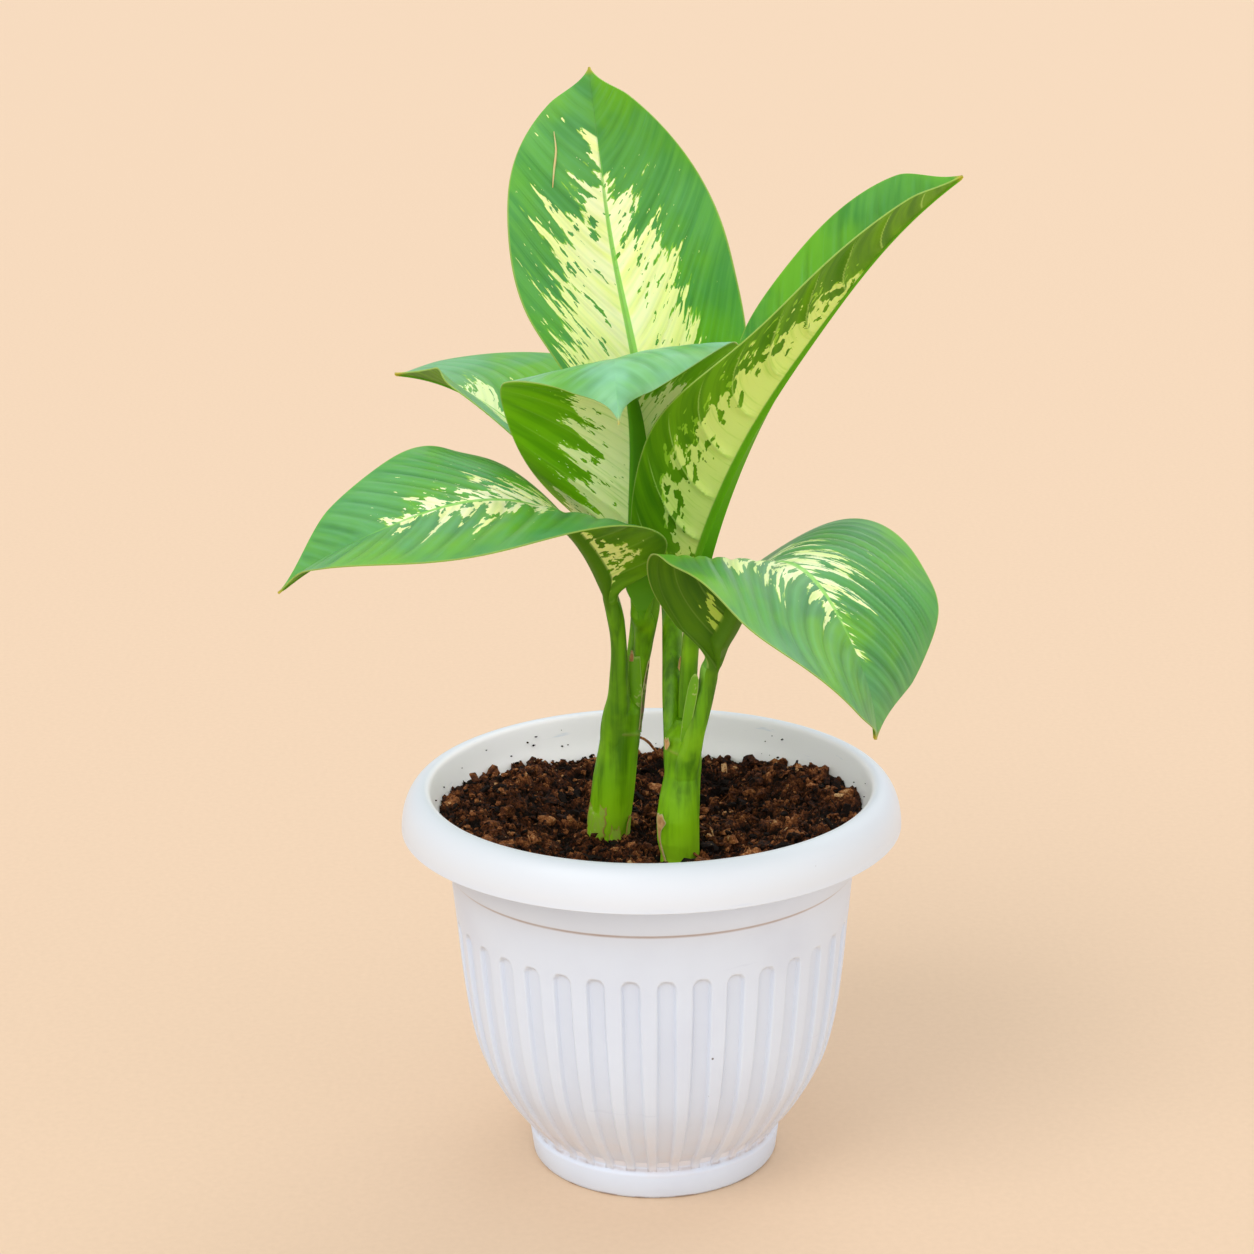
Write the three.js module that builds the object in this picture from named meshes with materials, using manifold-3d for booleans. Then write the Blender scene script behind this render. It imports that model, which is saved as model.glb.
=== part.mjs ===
// A dieffenbachia with two canes and six leaves, in a fluted pot filled with soil.
// Millimetres, +Z up, the origin at the centre of the pot's underside.
// The front of the plant is its -Y side.
import * as THREE from 'three';
import { mergeVertices } from 'three/addons/utils/BufferGeometryUtils.js';
import Module from 'manifold-3d';

const DEGREE = Math.PI / 180;

// Pot: a thin moulded shell with a rolled rim. Heights are above the ground, and each profile
// is a list of [height, radius].
const RIM_RADIUS = 110;          // lower outer edge of the rolled rim
const RIM_EDGE_HEIGHT = 157.5;
const CREST_RADIUS = 100.5;      // top of the rim
const CREST_HEIGHT = 175.5;
const RIM_WALL = 2.4;
const RIM_ANGLES = [0, 25, 48, 70, 90];   // where the rim's round outside is sectioned
const POT_WALL = 2.5;
const STEP_HEIGHT = 139.5;       // the small step between the belly and the neck
const STEP_FACE = 0.6;           // how tall its slanted face is
const STEP_RADII = [89.3, 90.8];
const FLOOR_THICKNESS = 4;
const FOOT = [[0, 54.2], [1, 55], [12.5, 56.2]];
const BELLY = [[13.5, 55.5], [17, 56.6], [25, 63.3], [36, 70.4], [50, 77.3], [68, 82], [90, 85]];
const NECK = [[156, 90.6], [162, 94.6], [168.5, 98.6]];
const UNDER_RIM = [[171, 103], [166.5, 106.5]];           // the hollow side of the rolled rim
const INNER_FOOT = [[FLOOR_THICKNESS, 51], [12.5, 53]];
const INNER_NECK = [[156, 87.8], [163, 93.2], [169, 96.2], [173.5, 98.2]];
const POT_SIDES = 60;
const DRAIN_HOLE_RADIUS = 4;
const DRAIN_HOLE_CIRCLE = 32;
const DRAIN_HOLES = 5;
const DRAIN_HOLE_SIDES = 12;

// Flutes: grooves with a round top, evenly round the belly.
const FLUTES = 36;
const FLUTE_TURN = 3.3;          // degrees from the front to the first groove
const FLUTE_SHARE = 0.52;        // groove width as a share of the spacing
const FLUTE_FLOOR = 0.6;         // the flat floor as a share of the groove
const FLUTE_DEPTH = 1.2;
const FLUTE_TOP = 117.5;
const FLUTE_ARCH = 4;            // height of the round top
const ARCH_RISES = [0, 0.72, 0.97];       // where the round top is sectioned, as shares of it

// Soil: fills the pot, with a shallow dish round the canes and coarse clods.
const SOIL_WALL_LEVEL = 158.5;
const SOIL_DISH_LEVEL = 151;
const SOIL_SIDE_HEIGHT = 154;    // where the soil's side ends and its rough top begins
const SOIL_CLEARANCE = 1.5;      // keeps its flat sides inside the pot's round wall
const DISH_RADIUS = 40;
const DISH_BANK = 6;             // width of the level band of soil along the wall
const CLOD_HEIGHT = 2.6;
const CLOD_SPACING = 13;
const SOIL_SIDES = 40;
const SOIL_RINGS = 9;

const GAP = 0.3;                 // keeps touching pieces apart
const HOLE_CLEARANCE = 0.5;      // between a cane and its hole in the soil

// Canes: [x, y, z, radius] along each axis, from the buried end to the crown.
const CANES = {
  cane_left: [
    [-21, 2, 96, 6], [-20.5, 2, 104, 9.4], [-20, 2, 135, 9.6], [-18.6, 2, 158, 9.4],
    [-17, 2, 171, 9.6], [-16, 2, 179, 9.3], [-13.6, 2, 194, 8.5], [-13.2, 2, 196.5, 9],
    [-12.8, 2, 199, 8.4], [-11, 2, 212, 8.6],
  ],
  cane_right: [
    [10.5, -29, 96, 6], [10.7, -29, 104, 8.8], [11, -29, 135, 9], [11.2, -28.5, 158, 9.1],
    [11.2, -28, 168, 9.3], [12, -27, 178, 8.7], [13.2, -26, 187, 7.8], [13.5, -25, 192.5, 8.4],
    [13.8, -24.6, 195, 7.8], [14.2, -23, 206, 8.4],
  ],
};
const CANE_SIDES = 12;
const BURIED_POINTS = 5;         // how many points of each axis its hole in the soil takes in

// Leaves. The blade starts at base and runs for length along its rib, with a half width on
// each side. outline is the pair of powers that set where the blade is widest and how it
// narrows to the base and to the tip. The angles are in degrees, as knots spread evenly from
// base to tip: pitch is above the horizontal, heading is about +Z from +X, roll is about the
// rib. fold is how steeply a side rises from the rib, and curl is how much it bends on the
// way to its edge, both as [left, right]. crown is where the stalk leaves the cane.
const LEAVES = {
  leaf_top: {
    crown: [8.8, -20.5, 206], stalk: [4.3, 3.6], base: [5, 20, 276],
    length: 209, half: [54, 55], outline: [0.81, 0.72],
    pitch: [77, 81, 76, 83, 81], heading: [129, 132, 142, 154, 130], roll: [-9, -24, -54, -66],
    fold: [[43, 32, 8], [32, 34, 17]], curl: [[8, 4, -7], [-1, 6, 2]], wave: [1.2, 3.1],
  },
  leaf_nodding: {
    crown: [-5.5, 2.5, 212], stalk: [4.3, 4], base: [-3.5, -1.5, 256.5],
    length: 188, half: [52, 57], outline: [0.81, 0.98],
    pitch: [62, 83, 83, 40, 4, -79], heading: [-84, -108, -99, -81], roll: [-6, 33, 19, 1],
    fold: [[60, 26, -10], [59, 24, -12]], curl: [[-8, -33, -53], [25, 5, -23]], wave: [0, 2],
  },
  leaf_folded: {
    crown: [17.5, -17.3, 206], stalk: [4.1, 3.4], base: [17, -18, 260.5],
    length: 229, half: [31, 40], outline: [0.33, 0.44],
    pitch: [74, 62, 57, 52, 37], heading: [-49, -47, -11, -4], roll: [-3, 6, 13, 27],
    fold: [[42, 53, 50], [52, 42, 50]], curl: [[-5, 2, 0], [1, -5, -1]], wave: [0.8, 2.6],
  },
  leaf_low_left: {
    crown: [-14.5, -3.5, 212], stalk: [4.6, 3.2], base: [-16.5, -7, 261.5],
    length: 191, half: [58, 56], outline: [0.87, 1.11],
    pitch: [61, 48, 17, -16, -28, -41], heading: [242, 216, 179, 162], roll: [-9, -8, -19, -12],
    fold: [[29, 14, 27], [37, 2, 33]], curl: [[-2, -9, -4], [4, -9, 9]], wave: [0.8, 3.2],
  },
  leaf_low_right: {
    crown: [18.6, -28, 206], stalk: [4.6, 3.4], base: [23, -29.5, 240],
    length: 163, half: [63, 62], outline: [0.75, 0.58],
    pitch: [54, 63, 15, -33, -57, -88], heading: [-15, -51, -56, -39], roll: [-13, 2, -9, -27],
    fold: [[49, 4, 13], [45, 12, 14]], curl: [[4, -14, -3], [8, -6, -2]], wave: [1.6, 3.4],
  },
  leaf_back: {
    crown: [-13.5, 9, 212], stalk: [3.6, 2.8], base: [-7, 25, 272.5],
    length: 141, half: [51, 52], outline: [0.88, 0.49],
    pitch: [57, 39, 31, 24, 9], heading: [152, 149, 149, 202], roll: [-16, -12, 3, 10],
    fold: [[49, 31, 8], [54, 34, 2]], curl: [[6, 2, -4], [10, 3, -9]], wave: [1, 2.4],
  },
};
const BLADE_THICKNESS = 1;
const EDGE_THICKNESS = 0.7;
const TIP_HALF_WIDTH = 0.6;
const TIP_SHARE = 0.05;          // share of the blade over which the tip closes
const TIP_BLUNTNESS = 0.45;
const TIP_END = 0.9995;          // the last section stops just short of the point
const WAVE_OFFSET = [0, 1.7];    // keeps the two edges from waving alike
const KEEL_AT_BASE = 1.7;        // depth of the rib under the blade, as a share of the stalk
const KEEL_AT_TIP = 0.5;
const KEEL_REACH = [-0.2, 0.9];  // shares of the blade between which the rib thins
const KEEL_SPREAD = 0.3;         // widest the rib may be, as a share of the half width
const BLADE_STEPS = 18;
const BLADE_CROWDING = 1.25;     // brings the sections closer together near the base
const FIRST_STEP = 0.4;          // place of an added section within the first step
const RIB_WALK = 96;             // short steps that the rib is walked in
const STALK_STEPS = 6;
const STALK_BOW = 0.35;          // how far the stalk keeps the way it starts and ends
const STALK_ARC = [10, 170];     // where a stalk section's points begin and end on each face
const STALK_JOIN = [-0.01, 0.07];         // shares over which the stalk spreads into the blade
const ACROSS = [0.38, 0.72, 1];  // where the blade's facets meet, out from the rib

const potPlastic = new THREE.MeshStandardMaterial({ color: 0xeef0f3, roughness: 0.42 });
const darkSoil = new THREE.MeshStandardMaterial({ color: 0x3a2416, roughness: 0.95 });
const caneGreen = new THREE.MeshStandardMaterial({ color: 0x5a9420, roughness: 0.45 });
const leafGreen = new THREE.MeshStandardMaterial({ color: 0x3c8f45, roughness: 0.4 });

const wasm = await Module();
wasm.setup();

const mix = THREE.MathUtils.lerp;
const smooth = THREE.MathUtils.smoothstep;

/** One closed surface through rings of points, in order, with both ends closed flat. */
function skin(rings) {
  const places = [];
  const triangles = [];
  const start = rings.map((ring) => {
    const first = places.length / 3;
    ring.forEach((point) => places.push(point.x, point.y, point.z));
    return first;
  });
  const cap = (index, forward) => {
    for (let i = 1; i < rings[index].length - 1; i += 1) {
      const [a, b, c] = [start[index], start[index] + i, start[index] + i + 1];
      triangles.push(...(forward ? [a, b, c] : [a, c, b]));
    }
  };
  for (let k = 0; k < rings.length - 1; k += 1) band(rings, start, k, triangles);
  cap(0, true);
  cap(rings.length - 1, false);
  const geometry = new THREE.BufferGeometry();
  geometry.setAttribute('position', new THREE.Float32BufferAttribute(places, 3));
  geometry.setIndex(triangles);
  return outward(geometry);
}

/** The triangles between ring k and the next one, which may have another number of points. */
function band(rings, start, k, triangles) {
  const [low, high] = [rings[k].length, rings[k + 1].length];
  const [from, to] = [start[k], start[k + 1]];
  let [i, j] = [0, 0];
  while (i < low || j < high) {
    const lowerStep = j === high || (i < low && (i + 1) / low <= (j + 1) / high);
    const [a, b] = [from + (i % low), to + (j % high)];
    if (lowerStep) triangles.push(a, b, from + ((i + 1) % low));
    else triangles.push(a, b, to + ((j + 1) % high));
    if (lowerStep) i += 1; else j += 1;
  }
}

/** Turns a closed surface inside out if its volume is negative. */
function outward(geometry) {
  const [place, index] = [geometry.attributes.position, geometry.index];
  const corner = (i) => new THREE.Vector3().fromBufferAttribute(place, index.getX(i));
  let volume = 0;
  for (let i = 0; i < index.count; i += 3) {
    volume += corner(i).dot(corner(i + 1).cross(corner(i + 2)));
  }
  if (volume < 0) {
    for (let i = 0; i < index.count; i += 3) {
      const [second, third] = [index.getX(i + 1), index.getX(i + 2)];
      index.setX(i + 1, third);
      index.setX(i + 2, second);
    }
  }
  return geometry;
}

function toSolid(geometry) {
  const bare = geometry.clone();
  bare.deleteAttribute('normal');
  bare.deleteAttribute('uv');
  const merged = mergeVertices(bare);
  return new wasm.Manifold(new wasm.Mesh({
    numProp: 3,
    vertProperties: new Float32Array(merged.attributes.position.array),
    triVerts: new Uint32Array(merged.index.array),
  }));
}

function toGeometry(solid) {
  const mesh = solid.getMesh();
  const geometry = new THREE.BufferGeometry();
  geometry.setAttribute('position', new THREE.Float32BufferAttribute(mesh.vertProperties, 3));
  geometry.setIndex([...mesh.triVerts]);
  return geometry;
}

/** A level ring of points round +Z. */
function levelRing(height, radius, sides) {
  return Array.from({ length: sides }, (_, i) => {
    const angle = (i / sides) * 2 * Math.PI;
    return new THREE.Vector3(radius * Math.sin(angle), -radius * Math.cos(angle), height);
  });
}

// ------------------------------------------------------------------ pot

const plainRing = ([height, radius]) => levelRing(height, radius, POT_SIDES);

/** The radius at any height of a profile, straight from each of its points to the next. */
function radiusAt(profile, height) {
  const last = profile.length - 2;
  const above = profile.findIndex((point) => point[0] > height);
  const k = above < 0 ? last : THREE.MathUtils.clamp(above - 1, 0, last);
  const [low, high] = [profile[k], profile[k + 1]];
  return mix(low[1], high[1], THREE.MathUtils.clamp((height - low[0]) / (high[0] - low[0]), 0, 1));
}

/** The pot's inner wall, from its floor up. */
function innerWall() {
  const behindFlutes = BELLY.slice(2)
    .map(([height, radius]) => [height + 1, radius - POT_WALL - FLUTE_DEPTH]);
  return [...INNER_FOOT, ...behindFlutes, [STEP_HEIGHT, STEP_RADII[0] - POT_WALL], ...INNER_NECK];
}

/** A ring of the fluted belly: each groove has two edge points and two floor points. */
function fluteRing(height, radius, rise) {
  const halfWidth = FLUTE_SHARE * 180 / FLUTES * Math.sqrt(1 - rise * rise);
  const floor = radius - (rise === ARCH_RISES.at(-1) ? 0 : FLUTE_DEPTH);
  const corners = [[-1, radius], [-FLUTE_FLOOR, floor], [FLUTE_FLOOR, floor], [1, radius]];
  const ring = [];
  for (let n = 0; n < FLUTES; n += 1) {
    const middle = FLUTE_TURN + (n * 360) / FLUTES;
    for (const [side, reach] of corners) {
      const angle = (middle + side * halfWidth) * DEGREE;
      ring.push(new THREE.Vector3(reach * Math.sin(angle), -reach * Math.cos(angle), height));
    }
  }
  return ring;
}

function drainHole(n) {
  const angle = (n / DRAIN_HOLES) * 2 * Math.PI;
  const hole = new THREE.CylinderGeometry(
    DRAIN_HOLE_RADIUS, DRAIN_HOLE_RADIUS, 4 * FLOOR_THICKNESS, DRAIN_HOLE_SIDES);
  hole.rotateX(Math.PI / 2);
  hole.translate(DRAIN_HOLE_CIRCLE * Math.sin(angle), DRAIN_HOLE_CIRCLE * Math.cos(angle), 0);
  return toSolid(hole);
}

function potGeometry() {
  const belly = [...BELLY, [STEP_HEIGHT - STEP_FACE / 2, STEP_RADII[0]]];
  const archRings = ARCH_RISES.map((rise) => {
    const height = FLUTE_TOP - FLUTE_ARCH * (1 - rise);
    return fluteRing(height, radiusAt(belly, height), rise);
  });
  const rimArc = RIM_ANGLES.map((angle) => [
    RIM_EDGE_HEIGHT + (CREST_HEIGHT - RIM_EDGE_HEIGHT) * Math.sin(angle * DEGREE),
    CREST_RADIUS + (RIM_RADIUS - CREST_RADIUS) * Math.cos(angle * DEGREE),
  ]);
  const rings = [
    ...FOOT.map(plainRing),
    ...BELLY.map(([height, radius]) => fluteRing(height, radius, 0)),
    ...archRings,
    plainRing(belly.at(-1)),
    plainRing([STEP_HEIGHT + STEP_FACE / 2, STEP_RADII[1]]),
    ...NECK.map(plainRing),
    ...UNDER_RIM.map(plainRing),
    plainRing([RIM_EDGE_HEIGHT, RIM_RADIUS - RIM_WALL]),
    ...rimArc.map(plainRing),
    ...innerWall().reverse().map(plainRing),
  ];
  let pot = toSolid(skin(rings));
  for (let n = 0; n < DRAIN_HOLES; n += 1) pot = pot.subtract(drainHole(n));
  return toGeometry(pot);
}

// ------------------------------------------------------------------ soil

/** Smooth seeded noise between -1 and 1 over the plane. */
function clodNoise(x, y) {
  const cell = (i, j) => {
    const wild = Math.sin(i * 127.1 + j * 311.7) * 43758.5453;
    return 2 * (wild - Math.floor(wild)) - 1;
  };
  const [u, v] = [x / CLOD_SPACING, y / CLOD_SPACING];
  const [i, j] = [Math.floor(u), Math.floor(v)];
  const [s, t] = [smooth(u - i, 0, 1), smooth(v - j, 0, 1)];
  return mix(mix(cell(i, j), cell(i + 1, j), s), mix(cell(i, j + 1), cell(i + 1, j + 1), s), t);
}

function soilHeight(x, y) {
  const bank = radiusAt(innerWall(), SOIL_WALL_LEVEL) - DISH_BANK;
  const rise = smooth(Math.hypot(x, y), DISH_RADIUS, bank);
  return mix(SOIL_DISH_LEVEL, SOIL_WALL_LEVEL, rise) + CLOD_HEIGHT * clodNoise(x, y);
}

/** Ring k of the soil's rough top, where ring 0 lies against the wall. */
function soilTopRing(k) {
  const wall = innerWall();
  return levelRing(0, radiusAt(wall, SOIL_WALL_LEVEL), SOIL_SIDES).map((edge) => {
    const edgeHeight = soilHeight(edge.x, edge.y);
    edge.setLength(radiusAt(wall, edgeHeight) - SOIL_CLEARANCE).multiplyScalar(1 - k / SOIL_RINGS);
    return edge.setZ(k === 0 ? edgeHeight : soilHeight(edge.x, edge.y));
  });
}

function soilGeometry() {
  const wall = innerWall();
  const side = [
    [FLOOR_THICKNESS + GAP, wall[0][1]],
    ...wall.slice(1).filter(([height]) => height < SOIL_SIDE_HEIGHT),
    [SOIL_SIDE_HEIGHT, radiusAt(wall, SOIL_SIDE_HEIGHT)],
  ].map(([height, radius]) => levelRing(height, radius - SOIL_CLEARANCE, SOIL_SIDES));
  const top = Array.from({ length: SOIL_RINGS }, (_, k) => soilTopRing(k));
  let soil = toSolid(skin([...side, ...top]));
  for (const axis of Object.values(CANES)) {
    const hole = axis.slice(0, BURIED_POINTS).map(([x, y, z, r]) => [x, y, z, r + HOLE_CLEARANCE]);
    hole[0][2] -= HOLE_CLEARANCE;
    soil = soil.subtract(toSolid(skin(caneRings(hole))));
  }
  return toGeometry(soil);
}

// ------------------------------------------------------------------ canes

function caneRings(axis) {
  return axis.map(([x, y, z, radius]) => (
    levelRing(z, radius, CANE_SIDES).map((point) => point.add(new THREE.Vector3(x, y, 0)))));
}

// ------------------------------------------------------------------ leaves

/** A smooth curve through evenly spread knots, at share s of its run. */
function track(knots, s) {
  const x = THREE.MathUtils.clamp(s, 0, 1) * (knots.length - 1);
  const i = Math.min(Math.floor(x), knots.length - 2);
  const f = x - i;
  const [b, c] = [knots[i], knots[i + 1]];
  const a = i > 0 ? knots[i - 1] : 2 * b - c;
  const d = i < knots.length - 2 ? knots[i + 2] : 2 * c - b;
  const cubic = 3 * b - a - 3 * c + d;
  return 0.5 * (2 * b + (c - a) * f + (2 * a - 5 * b + 4 * c - d) * f ** 2 + cubic * f ** 3);
}

/** The blade's half width at share s of its length, with 1 for the widest place. */
function bladeShape([towardsBase, towardsTip], s) {
  const widest = towardsBase / (towardsBase + towardsTip);
  const swell = (s / widest) ** towardsBase * ((1 - s) / (1 - widest)) ** towardsTip;
  return swell * Math.tanh((1 - s) / TIP_SHARE) ** TIP_BLUNTNESS;
}

/** Along the rib, up out of the blade, and across it to the right, at share s. */
function ribFrame(leaf, s) {
  const [pitch, heading, roll] = [leaf.pitch, leaf.heading, leaf.roll]
    .map((knots) => track(knots, s) * DEGREE);
  const along = new THREE.Vector3(
    Math.cos(pitch) * Math.cos(heading), Math.cos(pitch) * Math.sin(heading), Math.sin(pitch));
  const level = new THREE.Vector3(Math.sin(heading), -Math.cos(heading), 0);
  const up = new THREE.Vector3().crossVectors(level, along);
  return {
    along,
    up: up.clone().multiplyScalar(Math.cos(roll)).addScaledVector(level, Math.sin(roll)),
    right: level.multiplyScalar(Math.cos(roll)).addScaledVector(up, -Math.sin(roll)),
  };
}

/** The rib's point at share s, by walking along it in short steps. */
function ribPoints(leaf, shares) {
  const place = new THREE.Vector3(...leaf.base);
  const trail = [place.clone()];
  for (let n = 0; n < RIB_WALK; n += 1) {
    place.addScaledVector(ribFrame(leaf, (n + 0.5) / RIB_WALK).along, leaf.length / RIB_WALK);
    trail.push(place.clone());
  }
  return shares.map((s) => {
    const n = Math.min(RIB_WALK - 1, Math.floor(s * RIB_WALK));
    return trail[n].clone().lerp(trail[n + 1], s * RIB_WALK - n);
  });
}

/** The place and the outward normal on one side (-1 left, 1 right) of the blade. */
function sidePoint(leaf, frame, rib, s, side, share) {
  const which = side < 0 ? 0 : 1;
  const halfWidth = Math.max(TIP_HALF_WIDTH, leaf.half[which] * bladeShape(leaf.outline, s));
  const fold = track(leaf.fold[which], s) * DEGREE;
  const curl = (track(leaf.curl[which], s) || 0.01) * DEGREE;
  const slope = fold + curl * share;
  const across = halfWidth * (Math.sin(slope) - Math.sin(fold)) / curl;
  const [size, count] = leaf.wave;
  const ripple = size * share ** 2 * Math.sin(Math.PI * s)
    * Math.sin(2 * Math.PI * count * s + WAVE_OFFSET[which]);
  const rise = halfWidth * (Math.cos(fold) - Math.cos(slope)) / curl + ripple;
  return {
    place: rib.clone().addScaledVector(frame.right, side * across).addScaledVector(frame.up, rise),
    normal: frame.up.clone().multiplyScalar(Math.cos(slope))
      .addScaledVector(frame.right, -side * Math.sin(slope)),
  };
}

/** A ring of the blade: its upper face from left to right, then its lower face back. */
function bladeRing(leaf, rib, s) {
  const frame = ribFrame(leaf, s);
  const keel = mix(leaf.stalk[1] * KEEL_AT_BASE, KEEL_AT_TIP, smooth(s, ...KEEL_REACH));
  const upper = [];
  const lower = [];
  for (const side of [-1, 1]) {
    const width = leaf.half[side < 0 ? 0 : 1] * bladeShape(leaf.outline, s);
    const besideRib = Math.min(KEEL_SPREAD, keel / Math.max(width, 1));
    const shares = [besideRib, ...ACROSS];
    const points = shares.map((share) => {
      const { place, normal } = sidePoint(leaf, frame, rib, s, side, share);
      const half = mix(BLADE_THICKNESS, EDGE_THICKNESS, share) / 2;
      return [place.clone().addScaledVector(normal, half), place.addScaledVector(normal, -half)];
    });
    if (side < 0) points.reverse();
    upper.push(points.map((pair) => pair[0]));
    lower.push(points.map((pair) => pair[1]));
  }
  const half = BLADE_THICKNESS / 2;
  const ribTop = rib.clone().addScaledVector(frame.up, half);
  const ribBottom = rib.clone().addScaledVector(frame.up, -half - keel);
  return [
    ...upper[0], ribTop, ...upper[1],
    ...lower[1].reverse(), ribBottom, ...lower[0].reverse(),
  ];
}

/** A ring of the stalk, with as many points as a ring of the blade. */
function stalkRing(centre, up, right, radius) {
  const half = 2 * (ACROSS.length + 1) + 1;
  return Array.from({ length: 2 * half }, (_, i) => {
    const upper = i < half;
    const share = (upper ? i : i - half) / (half - 1);
    const angle = upper ? mix(STALK_ARC[1], STALK_ARC[0], share) : -mix(...STALK_ARC, share);
    return centre.clone()
      .addScaledVector(right, radius * Math.cos(angle * DEGREE))
      .addScaledVector(up, radius * Math.sin(angle * DEGREE));
  });
}

/** One leaf: its stalk from the crown of the cane, then its blade with the rib below it. */
function leafGeometry(leaf) {
  const frame = ribFrame(leaf, 0);
  const end = new THREE.Vector3(...leaf.base).addScaledVector(frame.up, -leaf.stalk[1]);
  const start = new THREE.Vector3(...leaf.crown);
  start.z += GAP;
  const reach = start.distanceTo(end);
  const path = new THREE.CubicBezierCurve3(
    start, start.clone().add(new THREE.Vector3(0, 0, STALK_BOW * reach)),
    end.clone().addScaledVector(frame.along, -STALK_BOW * reach), end);
  const rings = [];
  for (let n = 0; n < STALK_STEPS; n += 1) {
    const share = n / STALK_STEPS;
    const along = path.getTangent(share);
    const right = frame.right.clone().addScaledVector(along, -frame.right.dot(along)).normalize();
    const up = new THREE.Vector3().crossVectors(right, along);
    const flat = n === 0;
    const ring = stalkRing(path.getPoint(share), up, right, mix(...leaf.stalk, share));
    rings.push(flat ? ring.map((point) => point.setZ(start.z)) : ring);
  }
  const shares = Array.from({ length: BLADE_STEPS + 1 }, (_, i) => (
    (i / BLADE_STEPS) ** BLADE_CROWDING));
  shares.splice(1, 0, shares[1] * FIRST_STEP);
  const ribs = ribPoints(leaf, shares);
  shares.forEach((s, i) => {
    const ribHere = ribFrame(leaf, s);
    const blade = bladeRing(leaf, ribs[i], Math.min(s, TIP_END));
    const centre = ribs[i].clone().addScaledVector(ribHere.up, -leaf.stalk[1]);
    const stalk = stalkRing(centre, ribHere.up, ribHere.right, leaf.stalk[1]);
    const spread = smooth(s, ...STALK_JOIN);
    rings.push(blade.map((point, k) => stalk[k].lerp(point, spread)));
  });
  return skin(rings);
}

// ------------------------------------------------------------------ the object

const plant = new THREE.Group();

function addPiece(name, geometry, material) {
  const mesh = new THREE.Mesh(geometry, material);
  mesh.name = name;
  plant.add(mesh);
}

addPiece('pot', potGeometry(), potPlastic);
addPiece('soil', soilGeometry(), darkSoil);
for (const [name, axis] of Object.entries(CANES)) {
  addPiece(name, skin(caneRings(axis)), caneGreen);
}
for (const [name, leaf] of Object.entries(LEAVES)) {
  addPiece(name, leafGeometry(leaf), leafGreen);
}

export default plant;
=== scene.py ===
"""The looks of a potted dieffenbachia: two canes with six variegated leaves in a fluted pot.

Sizes and places are in millimetres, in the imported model's frame, and every mesh is made in
metres. The front of the plant is its -Y side.
"""
import logging
import math
import random
from dataclasses import dataclass, field
from enum import Enum
from typing import Optional, Union

import bpy
import numpy as np
from mathutils import Matrix, Vector, noise


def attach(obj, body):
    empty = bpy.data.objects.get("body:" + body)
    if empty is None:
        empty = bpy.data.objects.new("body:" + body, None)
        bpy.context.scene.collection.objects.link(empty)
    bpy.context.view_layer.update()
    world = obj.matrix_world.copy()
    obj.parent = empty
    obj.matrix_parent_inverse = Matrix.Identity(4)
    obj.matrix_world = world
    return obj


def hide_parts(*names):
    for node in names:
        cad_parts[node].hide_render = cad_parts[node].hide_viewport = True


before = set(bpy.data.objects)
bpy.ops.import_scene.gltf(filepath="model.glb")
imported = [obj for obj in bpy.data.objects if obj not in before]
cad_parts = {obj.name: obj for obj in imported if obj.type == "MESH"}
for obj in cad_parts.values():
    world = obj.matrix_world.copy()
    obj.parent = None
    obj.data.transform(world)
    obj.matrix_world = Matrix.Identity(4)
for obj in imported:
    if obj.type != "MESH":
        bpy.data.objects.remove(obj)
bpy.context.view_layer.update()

MM = 0.001
BODY = "root"
LOG = logging.getLogger("potted_plant")


class Slot(Enum):
    """The record's material slots."""

    POT = "pot_plastic"
    SOIL = "soil"
    CANE = "cane"
    LEAF = "leaf"


# ---------------------------------------------------------------- shader kit


def colour(red: float, green: float, blue: float) -> tuple[float, float, float, float]:
    """Turns a screen colour into the linear colour that shaders use.

    Args:
        red: 0 to 255.
        green: 0 to 255.
        blue: 0 to 255.

    Returns:
        Linear red, green and blue, and an alpha of 1.
    """
    linear = [
        part / 255 / 12.92 if part / 255 <= 0.04045 else ((part / 255 + 0.055) / 1.055) ** 2.4
        for part in (red, green, blue)
    ]
    return (*linear, 1.0)


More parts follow.
